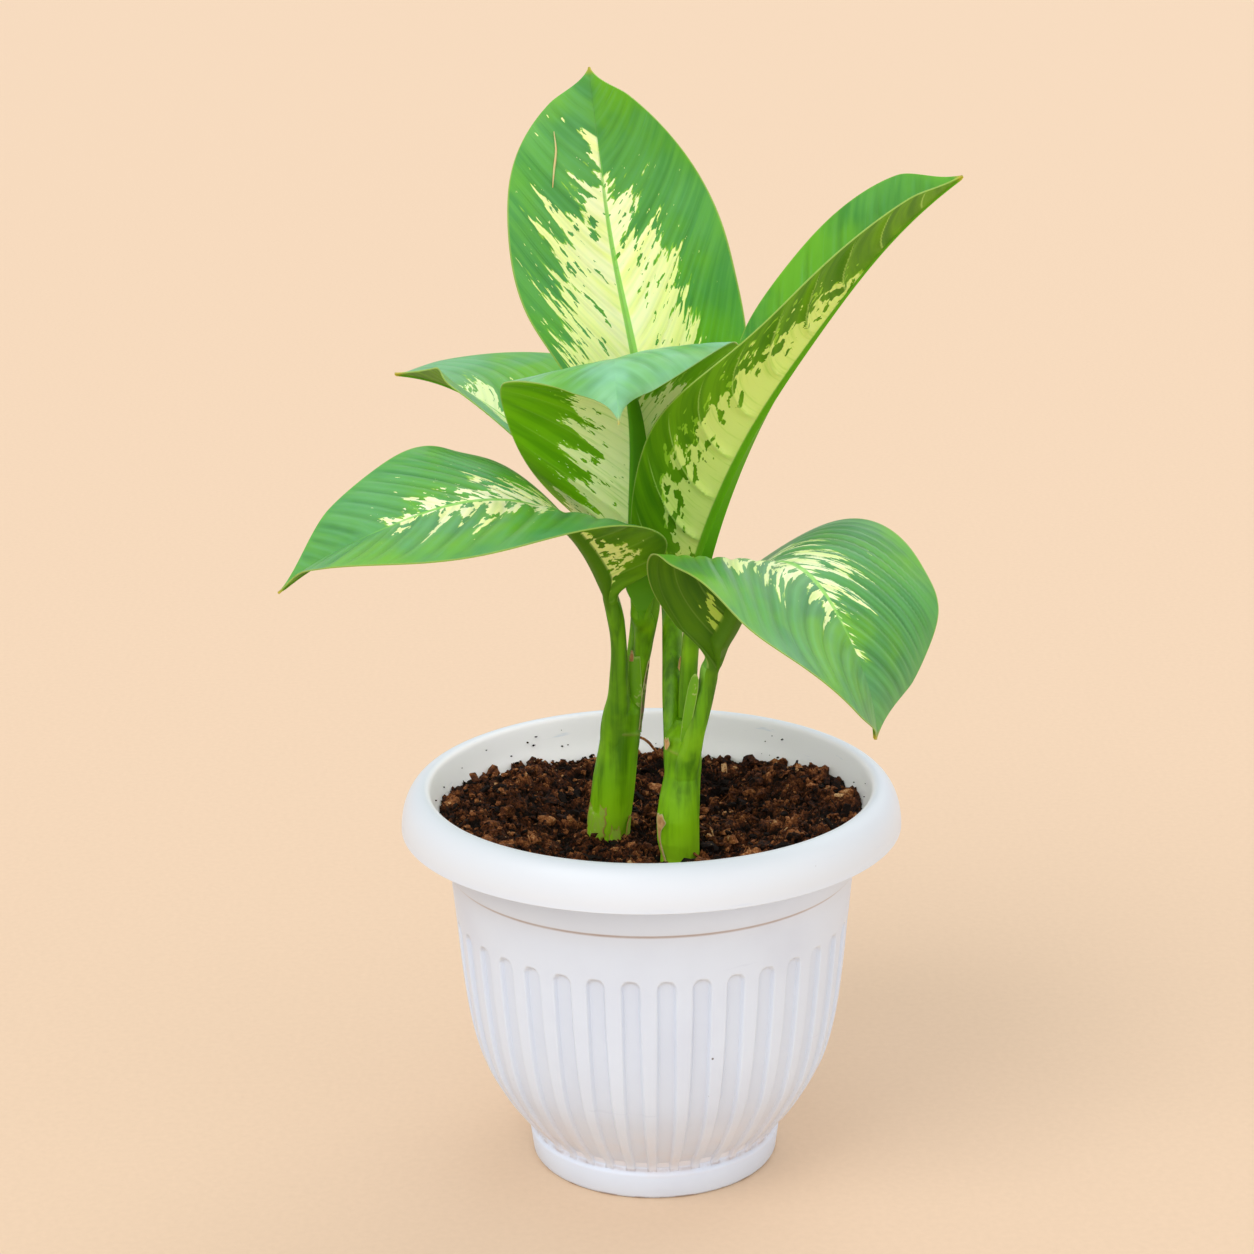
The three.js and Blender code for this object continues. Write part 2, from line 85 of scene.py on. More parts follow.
class Value:
    """A number, colour or vector on a shader socket, so that shader maths reads as Python."""

    def __init__(self, shader: "Shader", socket: bpy.types.NodeSocket) -> None:
        """Wraps one output socket."""
        self.shader = shader
        self.socket = socket

    def _math(self, operation: str, other: "Number" = 0.0, swapped: bool = False) -> "Value":
        """Adds a Math node that works on this value and another.

        Args:
            operation: the Math node's operation.
            other: the second number.
            swapped: True if this value comes second.

        Returns:
            The node's result.
        """
        first, second = (other, self) if swapped else (self, other)
        inputs = {0: first, 1: second}
        return self.shader.node("ShaderNodeMath", {"operation": operation}, inputs)

    def __add__(self, other: "Number") -> "Value":
        """This value plus another."""
        return self._math("ADD", other)

    __radd__ = __add__

    def __sub__(self, other: "Number") -> "Value":
        """This value minus another."""
        return self._math("SUBTRACT", other)

    def __rsub__(self, other: "Number") -> "Value":
        """Another number minus this value."""
        return self._math("SUBTRACT", other, swapped=True)

    def __mul__(self, other: "Number") -> "Value":
        """This value times another."""
        return self._math("MULTIPLY", other)

    __rmul__ = __mul__

    def __truediv__(self, other: "Number") -> "Value":
        """This value divided by another."""
        return self._math("DIVIDE", other)

    def __rtruediv__(self, other: "Number") -> "Value":
        """Another number divided by this value."""
        return self._math("DIVIDE", other, swapped=True)

    def size(self) -> "Value":
        """The value without its sign."""
        return self._math("ABSOLUTE")

    def over(self, limit: "Number") -> "Value":
        """1 where the value is over the limit, and 0 elsewhere."""
        return self._math("GREATER_THAN", limit)

    def at_least(self, limit: "Number") -> "Value":
        """The larger of the value and the limit."""
        return self._math("MAXIMUM", limit)

    def at_most(self, limit: "Number") -> "Value":
        """The smaller of the value and the limit."""
        return self._math("MINIMUM", limit)

    def folded(self, period: float) -> "Value":
        """The distance from the value to the nearest whole number of periods."""
        return self._math("PINGPONG", period / 2)

    def rise(self, low: float, high: float) -> "Value":
        """Goes smoothly from 0 at low to 1 at high.

        Args:
            low: the value that gives 0.
            high: the value that gives 1, which may be below low.

        Returns:
            A number from 0 to 1.
        """
        flip = low > high
        settings = {"interpolation_type": "SMOOTHSTEP"}
        inputs = {0: self, 1: min(low, high), 2: max(low, high), 3: float(flip), 4: float(not flip)}
        return self.shader.node("ShaderNodeMapRange", settings, inputs)


Number = Union[Value, float]
Paint = Union[Value, tuple]


class Shader:
    """One material's node tree, with the few nodes that the finishes share."""

    def __init__(self, name: str) -> None:
        """Starts an empty material.

        Args:
            name: the material's name.
        """
        self.material = bpy.data.materials.new(name)
        self.material.use_nodes = True
        self.tree = self.material.node_tree
        self.tree.nodes.clear()

    def node(self, kind: str, settings: Optional[dict] = None, inputs: Optional[dict] = None,
             out: Union[int, str] = 0) -> Optional[Value]:
        """Adds any node.

        Args:
            kind: the node's type.
            settings: the node's own settings, and "stops" for a ramp's (place, colour) pairs.
            inputs: a value or link for each socket, by the socket's name or number.
            out: which output is wanted.

        Returns:
            The chosen output, if the node has any.
        """
        made = self.tree.nodes.new(kind)
        for name, value in (settings or {}).items():
            if name == "stops":
                self._set_stops(made.color_ramp, value)
            else:
                setattr(made, name, value)
        for key, value in (inputs or {}).items():
            if isinstance(value, Value):
                self.tree.links.new(value.socket, made.inputs[key])
            else:
                made.inputs[key].default_value = value
        return Value(self, made.outputs[out]) if made.outputs else None

    @staticmethod
    def _set_stops(ramp: bpy.types.ColorRamp, stops: list) -> None:
        """Gives a ramp its stops.

        Args:
            ramp: the ramp to set.
            stops: (place, colour) pairs, in order.
        """
        while len(ramp.elements) < len(stops):
            ramp.elements.new(0.5)
        for element, (place, paint) in zip(ramp.elements, stops):
            element.position = place
        for element, (place, paint) in zip(ramp.elements, stops):
            element.color = paint

    def place(self) -> Value:
        """The place on the object, in metres."""
        return self.node("ShaderNodeTexCoord", out="Object")

    def part(self, vector: Value, axis: str) -> Value:
        """One coordinate of a vector, named X, Y or Z."""
        return self.node("ShaderNodeSeparateXYZ", inputs={0: vector}, out=axis)

    def scaled(self, vector: Value, scale: tuple) -> Value:
        """A vector with each of its numbers multiplied by its own scale."""
        settings = {"operation": "MULTIPLY"}
        return self.node("ShaderNodeVectorMath", settings, {0: vector, 1: scale})

    def vector(self, x: Number, y: Number, z: Number) -> Value:
        """A vector from three numbers."""
        return self.node("ShaderNodeCombineXYZ", inputs={0: x, 1: y, 2: z})

    def attribute(self, name: str) -> Value:
        """A number that the mesh holds at each point."""
        return self.node("ShaderNodeAttribute", {"attribute_name": name}, out="Fac")

    def noise(self, where: Value, scale: float, detail: float = 3.0, rough: float = 0.55) -> Value:
        """Cloudy noise around 0.5.

        Args:
            where: the place that it is read at.
            scale: how many clouds there are in one unit.
            detail: how many finer layers it has.
            rough: how strong the finer layers are.

        Returns:
            A number from 0 to 1.
        """
        inputs = {"Vector": where, "Scale": scale, "Detail": detail, "Roughness": rough}
        return self.node("ShaderNodeTexNoise", inputs=inputs)

    def cells(self, where: Value, scale: float) -> Value:
        """The distance to the nearest of many scattered points."""
        return self.node("ShaderNodeTexVoronoi", inputs={"Vector": where, "Scale": scale},
                         out="Distance")

    def curve(self, where: Value, stops: list[tuple[float, float]]) -> Value:
        """A number that follows a given curve.

        Args:
            where: the place on the curve, from 0 to 1.
            stops: (place, number) pairs, with the numbers from 0 to 1.

        Returns:
            The curve's number there.
        """
        grey = [(place, (level, level, level, 1.0)) for place, level in stops]
        return self.node("ShaderNodeValToRGB", {"stops": grey}, {0: where})

    def blend(self, share: Number, first: Paint, second: Paint) -> Value:
        """Mixes two colours.

        Args:
            share: 0 for the first colour and 1 for the second.
            first: a colour.
            second: a colour.

        Returns:
            The mixed colour.
        """
        inputs = {0: share, 6: first, 7: second}
        return self.node("ShaderNodeMix", {"data_type": "RGBA"}, inputs, out=2)

    def bump(self, height: Value, depth: float, strength: float = 1.0) -> Value:
        """Turns a height into a bent normal.

        Args:
            height: the height, from 0 to 1.
            depth: how deep a height of 1 is, in millimetres.
            strength: how much of the effect is used.

        Returns:
            The normal.
        """
        inputs = {"Height": height, "Distance": depth * MM, "Strength": strength}
        return self.node("ShaderNodeBump", inputs=inputs)

    def finish(self, inputs: dict) -> bpy.types.Material:
        """Ends the material in one principled surface.

        Args:
            inputs: the surface's sockets, by name.

        Returns:
            The finished material.
        """
        surface = self.node("ShaderNodeBsdfPrincipled", inputs=inputs)
        self.node("ShaderNodeOutputMaterial", inputs={0: surface})
        return self.material


# ---------------------------------------------------------------- mesh kit


def deselect_all() -> None:
    """Leaves object mode with nothing selected."""
    if bpy.context.object is not None and bpy.context.object.mode != "OBJECT":
        bpy.ops.object.mode_set(mode="OBJECT")
    bpy.ops.object.select_all(action="DESELECT")


def choose(piece: bpy.types.Object) -> None:
    """Makes one object the selected and active one."""
    deselect_all()
    piece.select_set(True)
    bpy.context.view_layer.objects.active = piece


def close_and_face_outwards() -> None:
    """In edit mode, closes open ends and turns every face outwards."""
    bpy.ops.mesh.select_all(action="DESELECT")
    bpy.ops.mesh.select_mode(type="EDGE")
    bpy.ops.mesh.select_non_manifold()
    bpy.ops.mesh.edge_face_add()
    bpy.ops.mesh.select_all(action="SELECT")
    bpy.ops.mesh.normals_make_consistent(inside=False)
    bpy.ops.mesh.select_mode(type="VERT")
    bpy.ops.object.mode_set(mode="OBJECT")


def sheet_of_points(name: str, places: np.ndarray, wrapped: bool,
                    marks: Optional[dict[str, np.ndarray]] = None) -> bpy.types.Object:
    """Makes a grid and moves its points to given places.

    Args:
        name: the object's name.
        places: millimetres, as rows of points.
        wrapped: True if the last column joins the first, and both ends are closed.
        marks: numbers that the mesh keeps at each point, by name.

    Returns:
        The new object.
    """
    if wrapped:
        places = np.concatenate([places, places[:, :1]], axis=1)
        marks = {key: np.concatenate([value, value[:, :1]], axis=1)
                 for key, value in (marks or {}).items()}
    rows, columns = places.shape[:2]
    deselect_all()
    bpy.ops.mesh.primitive_grid_add(x_subdivisions=columns - 1, y_subdivisions=rows - 1, size=2)
    piece = bpy.context.object
    piece.name = piece.data.name = name
    old = np.zeros(rows * columns * 3)
    piece.data.vertices.foreach_get("co", old)
    old = old.reshape(-1, 3).round(5)
    order = np.lexsort((old[:, 0], old[:, 1]))
    spread = np.zeros_like(old)
    spread[order] = places.reshape(-1, 3) * MM
    piece.data.vertices.foreach_set("co", spread.ravel())
    for key, value in (marks or {}).items():
        held = piece.data.attributes.new(key, "FLOAT", "POINT")
        numbers = np.zeros(rows * columns)
        numbers[order] = value.ravel()
        held.data.foreach_set("value", numbers)
    if wrapped:
        bpy.ops.object.mode_set(mode="EDIT")
        bpy.ops.mesh.select_all(action="SELECT")
        bpy.ops.mesh.remove_doubles(threshold=1e-6)
        close_and_face_outwards()
    return piece


def settle(piece: bpy.types.Object, slot: Slot, material: bpy.types.Material,
           *nodes: str, smooth_angle: float = 50.0) -> bpy.types.Object:
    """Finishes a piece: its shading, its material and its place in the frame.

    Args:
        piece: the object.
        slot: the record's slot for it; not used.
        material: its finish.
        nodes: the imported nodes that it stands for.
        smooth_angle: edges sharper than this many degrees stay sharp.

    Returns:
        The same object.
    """
    choose(piece)
    bpy.ops.object.shade_smooth_by_angle(angle=math.radians(smooth_angle))
    piece.data.materials.clear()
    piece.data.materials.append(material)
    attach(piece, BODY)
    if nodes:
        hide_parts(*nodes)
    LOG.info("%s: %d faces", piece.name, len(piece.data.polygons))
    return piece


def smooth(x: np.ndarray, low: float, high: float) -> np.ndarray:
    """Goes smoothly from 0 at low to 1 at high."""
    share = np.clip((np.asarray(x, float) - low) / (high - low), 0, 1)
    return share * share * (3 - 2 * share)


def mix(first: np.ndarray, second: np.ndarray, share: np.ndarray) -> np.ndarray:
    """The value at a share of the way from first to second."""
    return first + (second - first) * share


def track(knots: list[float], s: np.ndarray) -> np.ndarray:
    """A smooth curve through evenly spread knots.

    Args:
        knots: the values that it passes through.
        s: shares of its run, from 0 to 1.

    Returns:
        The curve's values at those shares.
    """
    line = np.array([2 * knots[0] - knots[1], *knots, 2 * knots[-1] - knots[-2]], float)
    x = np.clip(s, 0, 1) * (len(knots) - 1)
    i = np.minimum(x.astype(int), len(knots) - 2)
    f = x - i
    a, b, c, d = (line[i + k] for k in range(4))
    cubic = 3 * b - a - 3 * c + d
    return 0.5 * (2 * b + (c - a) * f + (2 * a - 5 * b + 4 * c - d) * f**2 + cubic * f**3)


def path_through(points: list, steps: int) -> np.ndarray:
    """A smooth path through points with any number of values each.

    Args:
        points: the points that it passes through.
        steps: how many points it gets.

    Returns:
        The path's points, one a row.
    """
    s = np.linspace(0, 1, steps)
    return np.stack([track([float(p[k]) for p in points], s) for k in range(len(points[0]))], 1)


def flowing(points: list, steps: int, end: Optional[np.ndarray] = None) -> np.ndarray:
    """A smooth path through unevenly spread points, at even steps.

    Args:
        points: x, y, z and any more values of each point.
        steps: how many points the path gets.
        end: the direction that it ends in.

    Returns:
        The path's points, one a row.
    """
    rows = np.array(points, float)
    run = np.concatenate([[0], np.cumsum(np.linalg.norm(np.diff(rows[:, :3], axis=0), axis=1))])
    slope = np.gradient(rows, run, axis=0)
    if end is not None:
        slope[-1, :3] = end
    marks = np.linspace(0, run[-1], steps)
    k = np.clip(np.searchsorted(run, marks, side="right") - 1, 0, len(run) - 2)
    span = np.diff(run)[k][:, None]
    f = (marks - run[k])[:, None] / span
    return ((2 * f**3 - 3 * f**2 + 1) * rows[k] + (f**3 - 2 * f**2 + f) * span * slope[k]
            + (3 * f**2 - 2 * f**3) * rows[k + 1] + (f**3 - f**2) * span * slope[k + 1])


def thin_rings(points: np.ndarray, radius: float, sides: int) -> np.ndarray:
    """Rings along a path, thickest in the middle.

    Args:
        points: the path.
        radius: the rings' largest radius.
        sides: how many points each ring has.

    Returns:
        One row of points for each ring.
    """
    along = unit(np.gradient(points, axis=0))
    side = unit(np.cross(along, (0.13, 0.31, 0.94)))
    up = np.cross(side, along)
    angles = np.linspace(0, 2 * math.pi, sides, endpoint=False)
    width = radius * (0.35 + 0.65 * np.sin(np.linspace(0, math.pi, len(points))))
    turned = (np.cos(angles)[None, :, None] * side[:, None]
              + np.sin(angles)[None, :, None] * up[:, None])
    return points[:, None] + width[:, None, None] * turned


def unit(vectors: np.ndarray) -> np.ndarray:
    """The vectors at a length of 1."""
    return vectors / np.linalg.norm(vectors, axis=-1, keepdims=True)


# ---------------------------------------------------------------- pot


@dataclass(frozen=True)
class PotFinish:
    """White moulded plastic, faintly blue, pinkish towards its foot, with painted light and shade: a dirt
    line under its step that also paints its shadow, shade in its flutes, a brighter inside, and a bluer
    wall below the rim.
    """

    # The rim and the wall are the same plastic; the wall is painted bluer than the rim to offset the warm
    # light bounced up from the floor.
    rim: tuple = colour(218, 224, 232)
    white: tuple = colour(216, 227, 243)
    shade: tuple = colour(209, 219, 236)
    # Painted light: the inside is painted brighter than the outside of the same plastic.
    lining: tuple = colour(255, 251, 252)
    # Painted shade for the flute recesses, also used for scuffs.
    scuff_and_flute_shade: tuple = colour(199, 210, 229)
    # Pinkish tint towards the foot.
    foot_tint: tuple = colour(224, 214, 212)
    # Dirt-brown, for the seam, the sole and the line under the step, which also paints the step's shadow.
    dirt_and_step_shadow: tuple = colour(160, 132, 116)
    speck: tuple = colour(70, 54, 44)
    roughness: float = 0.34

    def material(self, step_height: float, foot_height: float) -> bpy.types.Material:
        """Makes the finish.

        Args:
            step_height: the height of the pot's step, where a dirt-brown line lies that also paints the
                step's shadow.
            foot_height: the height of the foot, above which a pinkish tint lies.

        Returns:
            The material.
        """
        shader = Shader("pot_plastic")
        place = shader.place()
        height = shader.part(place, "Z") * 1000
        clouds = shader.noise(place, 18, 4)
        fine = shader.noise(place, 160, 3)
        paint = shader.blend(clouds.rise(0.4, 0.72) * 0.8, self.white, self.shade)
        # Painted light: the rim band gets its own tone, and the wall below it stays bluer to offset warm
        # bounced light.
        paint = shader.blend(height.rise(153, 162), paint, self.rim)
        # Painted shade: the flute recesses are darkened.
        paint = shader.blend(shader.attribute("groove") * 0.25, paint, self.scuff_and_flute_shade)
        # Painted light: the inside is painted brighter than the outside, standing in for light that comes
        # through the thin plastic and bounces between the walls.
        paint = shader.blend(shader.attribute("inside"), paint, self.lining)
        # A patchy pinkish tint towards the foot, which also roughens the surface.
        low = height.rise(foot_height + 42, foot_height + 6) * height.rise(10, 14)
        foot_tinted = low * (0.35 + 0.65 * shader.noise(place, 60, 5).rise(0.35, 0.7)) * 0.5
        paint = shader.blend(foot_tinted, paint, self.foot_tint)
        # A dirt-brown line just under the step's ledge, which also paints the shadow under it.
        line = (height - (step_height - 0.6)).size().rise(1.3, 0.3)
        line = line * (0.35 + 0.6 * shader.noise(place, 38, 3))
        paint = shader.blend(line, paint, self.dirt_and_step_shadow)
        seam = (height - (foot_height + 1.2)).size().rise(1.1, 0.2) * fine.rise(0.35, 0.6) * 0.35
        paint = shader.blend(seam, paint, self.dirt_and_step_shadow)
        sole = height.rise(1.6, 0.3) * fine.rise(0.45, 0.6) * 0.7
        paint = shader.blend(sole, paint, self.dirt_and_step_shadow)
        spots = shader.cells(place, 46).rise(0.032, 0.018) * clouds.rise(0.5, 0.56)
        paint = shader.blend(spots * 0.9, paint, self.speck)
        scuffs = shader.noise(shader.scaled(place, (30, 30, 300)), 1, 4, 0.6)
        marks = scuffs.rise(0.66, 0.74) * 0.35
        paint = shader.blend(marks, paint, self.scuff_and_flute_shade)
        rough = self.roughness + 0.14 * clouds + 0.2 * foot_tinted + 0.12 * marks
        relief = shader.noise(place, 420, 2) * 0.4 + scuffs * 0.6
        return shader.finish({
            "Base Color": paint, "Roughness": rough, "Normal": shader.bump(relief, 0.04, 0.4),
            "Subsurface Weight": 0.08, "Subsurface Radius": (1.0, 1.0, 1.1),
            "Subsurface Scale": 0.002,
        })


@dataclass
class Pot:
    """A thin moulded pot with a rolled rim, a stepped neck, flutes and a plain foot."""

    crest: tuple[float, float] = (175.5, 99.8)
    rim_edge: tuple[float, float] = (157.5, 110.0)
    rim_wall: float = 2.4
    step_height: float = 139.5
    step_radii: tuple[float, float] = (89.2, 90.8)
    foot: list = field(default_factory=lambda: [
        (0.0, 53.2), (0.4, 54.3), (1.6, 55.1), (11.4, 56.4), (12.1, 56.3), (12.6, 55.9)])
    belly: list = field(default_factory=lambda: [
        (13.2, 55.0), (17, 56.6), (25, 63.3), (36, 70.4), (50, 77.3), (68, 82), (90, 85),
        (113, 87.0), (132, 88.7)])
    neck: list = field(default_factory=lambda: [(148, 90.7), (156, 90.6), (162, 94.6), (168.5, 98.6)])
    under_rim: list = field(default_factory=lambda: [(171, 103), (166.5, 106.5), (161, 107.4)])
    inner_neck: list = field(default_factory=lambda: [
        (173.5, 96.9), (169, 95.3), (163, 92.8), (156, 87.8), (139.5, 86.8)])
    floor_thickness: float = 4.0
    wall: float = 3.7
    flutes: int = 36
    first_flute: float = 3.3
    flute_share: float = 0.575
    flute_depth: float = 1.7
    flute_top: float = 117.8
    flute_arch: float = 4.3
    flute_growth: float = 1.24
    columns: tuple = (0, 0.4, 0.62, 0.72, 0.8, 0.87, 0.94, 1.0, 1.12)
    drain_holes: int = 5
    drain_circle: float = 32.0
    drain_radius: float = 4.0
    finish: PotFinish = PotFinish()

    def inner_radius(self, height: float) -> float:
        """The radius of the inside of the neck at a height."""
        rows = sorted(self.inner_neck)
        return float(np.interp(height, [h for h, _ in rows], [r for _, r in rows]))

    def smooth_run(self, points: list, step: float) -> list:
        """Rounds a run of profile points into a smooth curve.

        Args:
            points: (height, radius) pairs.
            step: the distance between the new points.

        Returns:
            More (height, radius) pairs along the curve.
        """
        length = sum(math.dist(a, b) for a, b in zip(points, points[1:]))
        dense = path_through(points, 400)
        run = np.concatenate([[0], np.cumsum(np.linalg.norm(np.diff(dense, axis=0), axis=1))])
        marks = np.linspace(0, run[-1], max(2, round(length / step)) + 1)
        return [(float(np.interp(m, run, dense[:, 0])), float(np.interp(m, run, dense[:, 1])))
                for m in marks]

    def profile(self) -> list:
        """The pot's section from the centre underneath, up outside, and down inside."""
        rise, reach = self.crest[0] - self.rim_edge[0], self.rim_edge[1] - self.crest[1]
        arc = [(self.rim_edge[0] + rise * math.sin(math.radians(angle)),
                self.crest[1] + reach * math.cos(math.radians(angle)))
               for angle in range(0, 91, 6)]
        edge = self.rim_edge[0]
        skirt = [(edge + 0.1, self.rim_edge[1] - self.rim_wall), (edge - 0.35, 108.3),
                 (edge - 0.45, 109.2), (edge - 0.2, 109.8)]
        fine_top = self.flute_top + 1.0
        belly = self.smooth_run(self.belly, 2.2)
        heights, radii = zip(*belly)
        belly = [p for p in belly if not self.flute_top - 8 < p[0] < fine_top]
        belly += [(z, float(np.interp(z, heights, radii)))
                  for z in np.arange(self.flute_top - 7.6, fine_top, 0.45)]
        step = [(self.step_height - 0.6, self.step_radii[0]),
                (self.step_height - 0.35, self.step_radii[0] + 0.1),
                (self.step_height, self.step_radii[1] - 0.3),
                (self.step_height + 0.5, self.step_radii[1])]
        inner = [(h + 1, r - self.wall) for h, r in reversed(self.belly) if 20 < h < 100]
        inner = self.inner_neck + inner + [(12.5, 53), (self.floor_thickness, 51)]
        inner = self.smooth_run(inner[:4], 2.0) + inner[4:]
        outer = [*self.foot, *sorted(belly), *step, *self.smooth_run(self.neck, 3.0)]
        underneath = [(0, radius) for radius in (20.0, 30.0, 36.0, 44.0)]
        floor = [(self.floor_thickness, radius) for radius in (44.0, 36.0, 28.0, 20.0)]
        rim = [*self.smooth_run(self.under_rim, 2.5), *skirt, *arc,
               (self.crest[0] - 0.25, 98.4), (self.crest[0] - 0.9, 97.5)]
        return [*underneath, *outer, *rim, *inner, *floor]

    def groove(self, angle: np.ndarray, height: np.ndarray) -> np.ndarray:
        """How deep the flutes are.

        Args:
            angle: degrees round the pot from its front.
            height: the height of each point.

        Returns:
            A share of the full depth, from 0 to 1.
        """
        pitch = 360 / self.flutes
        offset = (angle - self.first_flute + pitch / 2) % pitch - pitch / 2
        across = offset / (self.flute_share * pitch / 2)
        above = np.clip((height - (self.flute_top - self.flute_arch)) / self.flute_arch, 0, None)
        edge = np.hypot(across, above)
        return (1 - smooth(edge, 0.7, 1.0)) * smooth(height, 13.4, 15.5)

    def column_angles(self) -> np.ndarray:
        """The angles of the section's copies, close together at the sides of each flute."""
        pitch = 360 / self.flutes
        half = self.flute_share * pitch / 2
        offsets = sorted({share * half * sign for share in self.columns for sign in (-1, 1)}
                         | {pitch / 2})
        return np.array([self.first_flute + n * pitch + offset
                         for n in range(self.flutes) for offset in offsets])

    def spin(self) -> bpy.types.Object:
        """Draws the section by extruding a point, and spins it into the plain pot."""
        section = [Vector((0, -radius, height)) * MM for height, radius in self.profile()]
        deselect_all()
        bpy.ops.mesh.primitive_plane_add(size=MM, location=section[0])
        shell = bpy.context.object
        bpy.ops.object.transform_apply(location=True)
        shell.name = shell.data.name = "pot_shell"
        bpy.ops.object.mode_set(mode="EDIT")
        bpy.ops.mesh.select_all(action="SELECT")
        bpy.ops.mesh.merge(type="CENTER")
        for here, there in zip(section, section[1:]):
            bpy.ops.mesh.extrude_region_move(TRANSFORM_OT_translate={"value": there - here})
        bpy.ops.mesh.select_all(action="SELECT")
        bpy.ops.mesh.spin(steps=len(self.column_angles()), angle=2 * math.pi, center=(0, 0, 0),
                          axis=(0, 0, 1))
        bpy.ops.mesh.select_all(action="SELECT")
        bpy.ops.mesh.remove_doubles(threshold=2e-5)
        close_and_face_outwards()
        return shell

    def press_flutes(self, shell: bpy.types.Object) -> None:
        """Presses the flutes into the outside of the belly, and notes where they are.

        Args:
            shell: the plain pot.
        """
        count = len(shell.data.vertices)
        places = np.zeros(count * 3)
        shell.data.vertices.foreach_get("co", places)
        places = places.reshape(-1, 3) / MM
        radius = np.hypot(places[:, 0], places[:, 1])
        even = np.degrees(np.arctan2(places[:, 0], -places[:, 1])) % 360
        angles = self.column_angles()
        column = np.round(even / 360 * len(angles)).astype(int) % len(angles)
        turned = angles[column]
        wall_line = np.interp(places[:, 2], [p[0] for p in self.belly], [p[1] for p in self.belly])
        outside = (radius > wall_line - self.wall / 2) & (places[:, 2] > 12.8) & (places[:, 2] < 125)
        share = np.where(outside, self.groove(turned, places[:, 2]), 0)
        centre = self.first_flute + 360 / self.flutes * np.round(
            (turned - self.first_flute) / (360 / self.flutes))
        wider = mix(1.0, self.flute_growth, smooth(-places[:, 2], -105, -25))
        wider = np.where(np.abs(turned - centre) < 0.46 * 360 / self.flutes, wider, 1)
        swept = np.radians(np.where(outside, centre + (turned - centre) * wider, turned))
        reach = radius - share * self.flute_depth
        places[:, 0], places[:, 1] = reach * np.sin(swept), -reach * np.cos(swept)
        shell.data.vertices.foreach_set("co", (places * MM).ravel())
        lining = np.array([self.inner_radius(z) if z > 139.5 else np.interp(z, *zip(*self.belly)) - 4
                           for z in places[:, 2]])
        inside = smooth(lining + 2.2 - radius, 0, 1.5) * (places[:, 2] > 1)
        for name, values in (("groove", share), ("inside", inside)):
            shell.data.attributes.new(name, "FLOAT", "POINT").data.foreach_set("value", values)
        shell.data.update()

    def cut_drain_holes(self, shell: bpy.types.Object) -> None:
        """Cuts the drain holes through the floor.

        Args:
            shell: the pot.
        """
        drills = []
        for n in range(self.drain_holes):
            angle = n / self.drain_holes * 2 * math.pi
            deselect_all()
            bpy.ops.mesh.primitive_cylinder_add(
                vertices=32, radius=self.drain_radius * MM, depth=20 * MM,
                location=(self.drain_circle * math.sin(angle) * MM,
                          self.drain_circle * math.cos(angle) * MM, 0))
            drills.append(bpy.context.object)
        for drill in drills:
            drill.select_set(True)
        bpy.ops.object.join()
        drill = bpy.context.object
        choose(shell)
        cut = shell.modifiers.new("drain", "BOOLEAN")
        cut.operation, cut.object, cut.solver = "DIFFERENCE", drill, "EXACT"
        bpy.ops.object.modifier_apply(modifier=cut.name)
        bpy.data.objects.remove(drill)

    def build(self) -> bpy.types.Object:
        """Makes the pot."""
        shell = self.spin()
        self.press_flutes(shell)
        self.cut_drain_holes(shell)
        material = self.finish.material(self.step_height, self.foot[-1][0])
        return settle(shell, Slot.POT, material, "pot", smooth_angle=42)


# ---------------------------------------------------------------- soil


@dataclass(frozen=True)
class SoilFinish:
    """Coarse potting soil, brown to rusty on its lumps, with painted shade that darkens its hollows to near
    black.
    """

    dark: tuple = colour(18, 7, 2)
    brown: tuple = colour(90, 47, 22)
    rust: tuple = colour(170, 106, 60)
    straw: tuple = colour(222, 180, 128)

    def material(self, name: str, pale: float) -> bpy.types.Material:
        """Makes the finish.

        Args:
            name: the material's name.
            pale: how much lighter than the bed it is.

        Returns:
            The material.
        """
        shader = Shader(name)
        place = shader.place()
        lift = shader.attribute("lift")
        clumps = shader.noise(place, 140, 5, 0.65)
        grain = shader.noise(place, 850, 4, 0.7)
        # Painted shade: on the bed, lift is low in the hollows and high on the tops, so hollows are painted
        # dark and tops light; on loose pieces it is a random tone.
        level = lift * 0.9 + (clumps - 0.5) * 1.1 + (grain - 0.5) * 1.2 + pale
        stops = [(0.24, self.dark), (0.54, self.brown), (0.82, self.rust), (1.0, self.straw)]
        paint = shader.node("ShaderNodeValToRGB", {"stops": stops}, {0: level})
        fleck = shader.cells(place, 380).rise(0.16, 0.1) * clumps.rise(0.5, 0.6)
        paint = shader.blend(fleck * 0.6, paint, self.straw)
        relief = clumps * 0.5 + grain * 0.5
        return shader.finish({"Base Color": paint, "Roughness": 0.74 + 0.22 * grain,
                              "Specular IOR Level": 0.15,
                              "Normal": shader.bump(relief, 2.2, 1.0)})


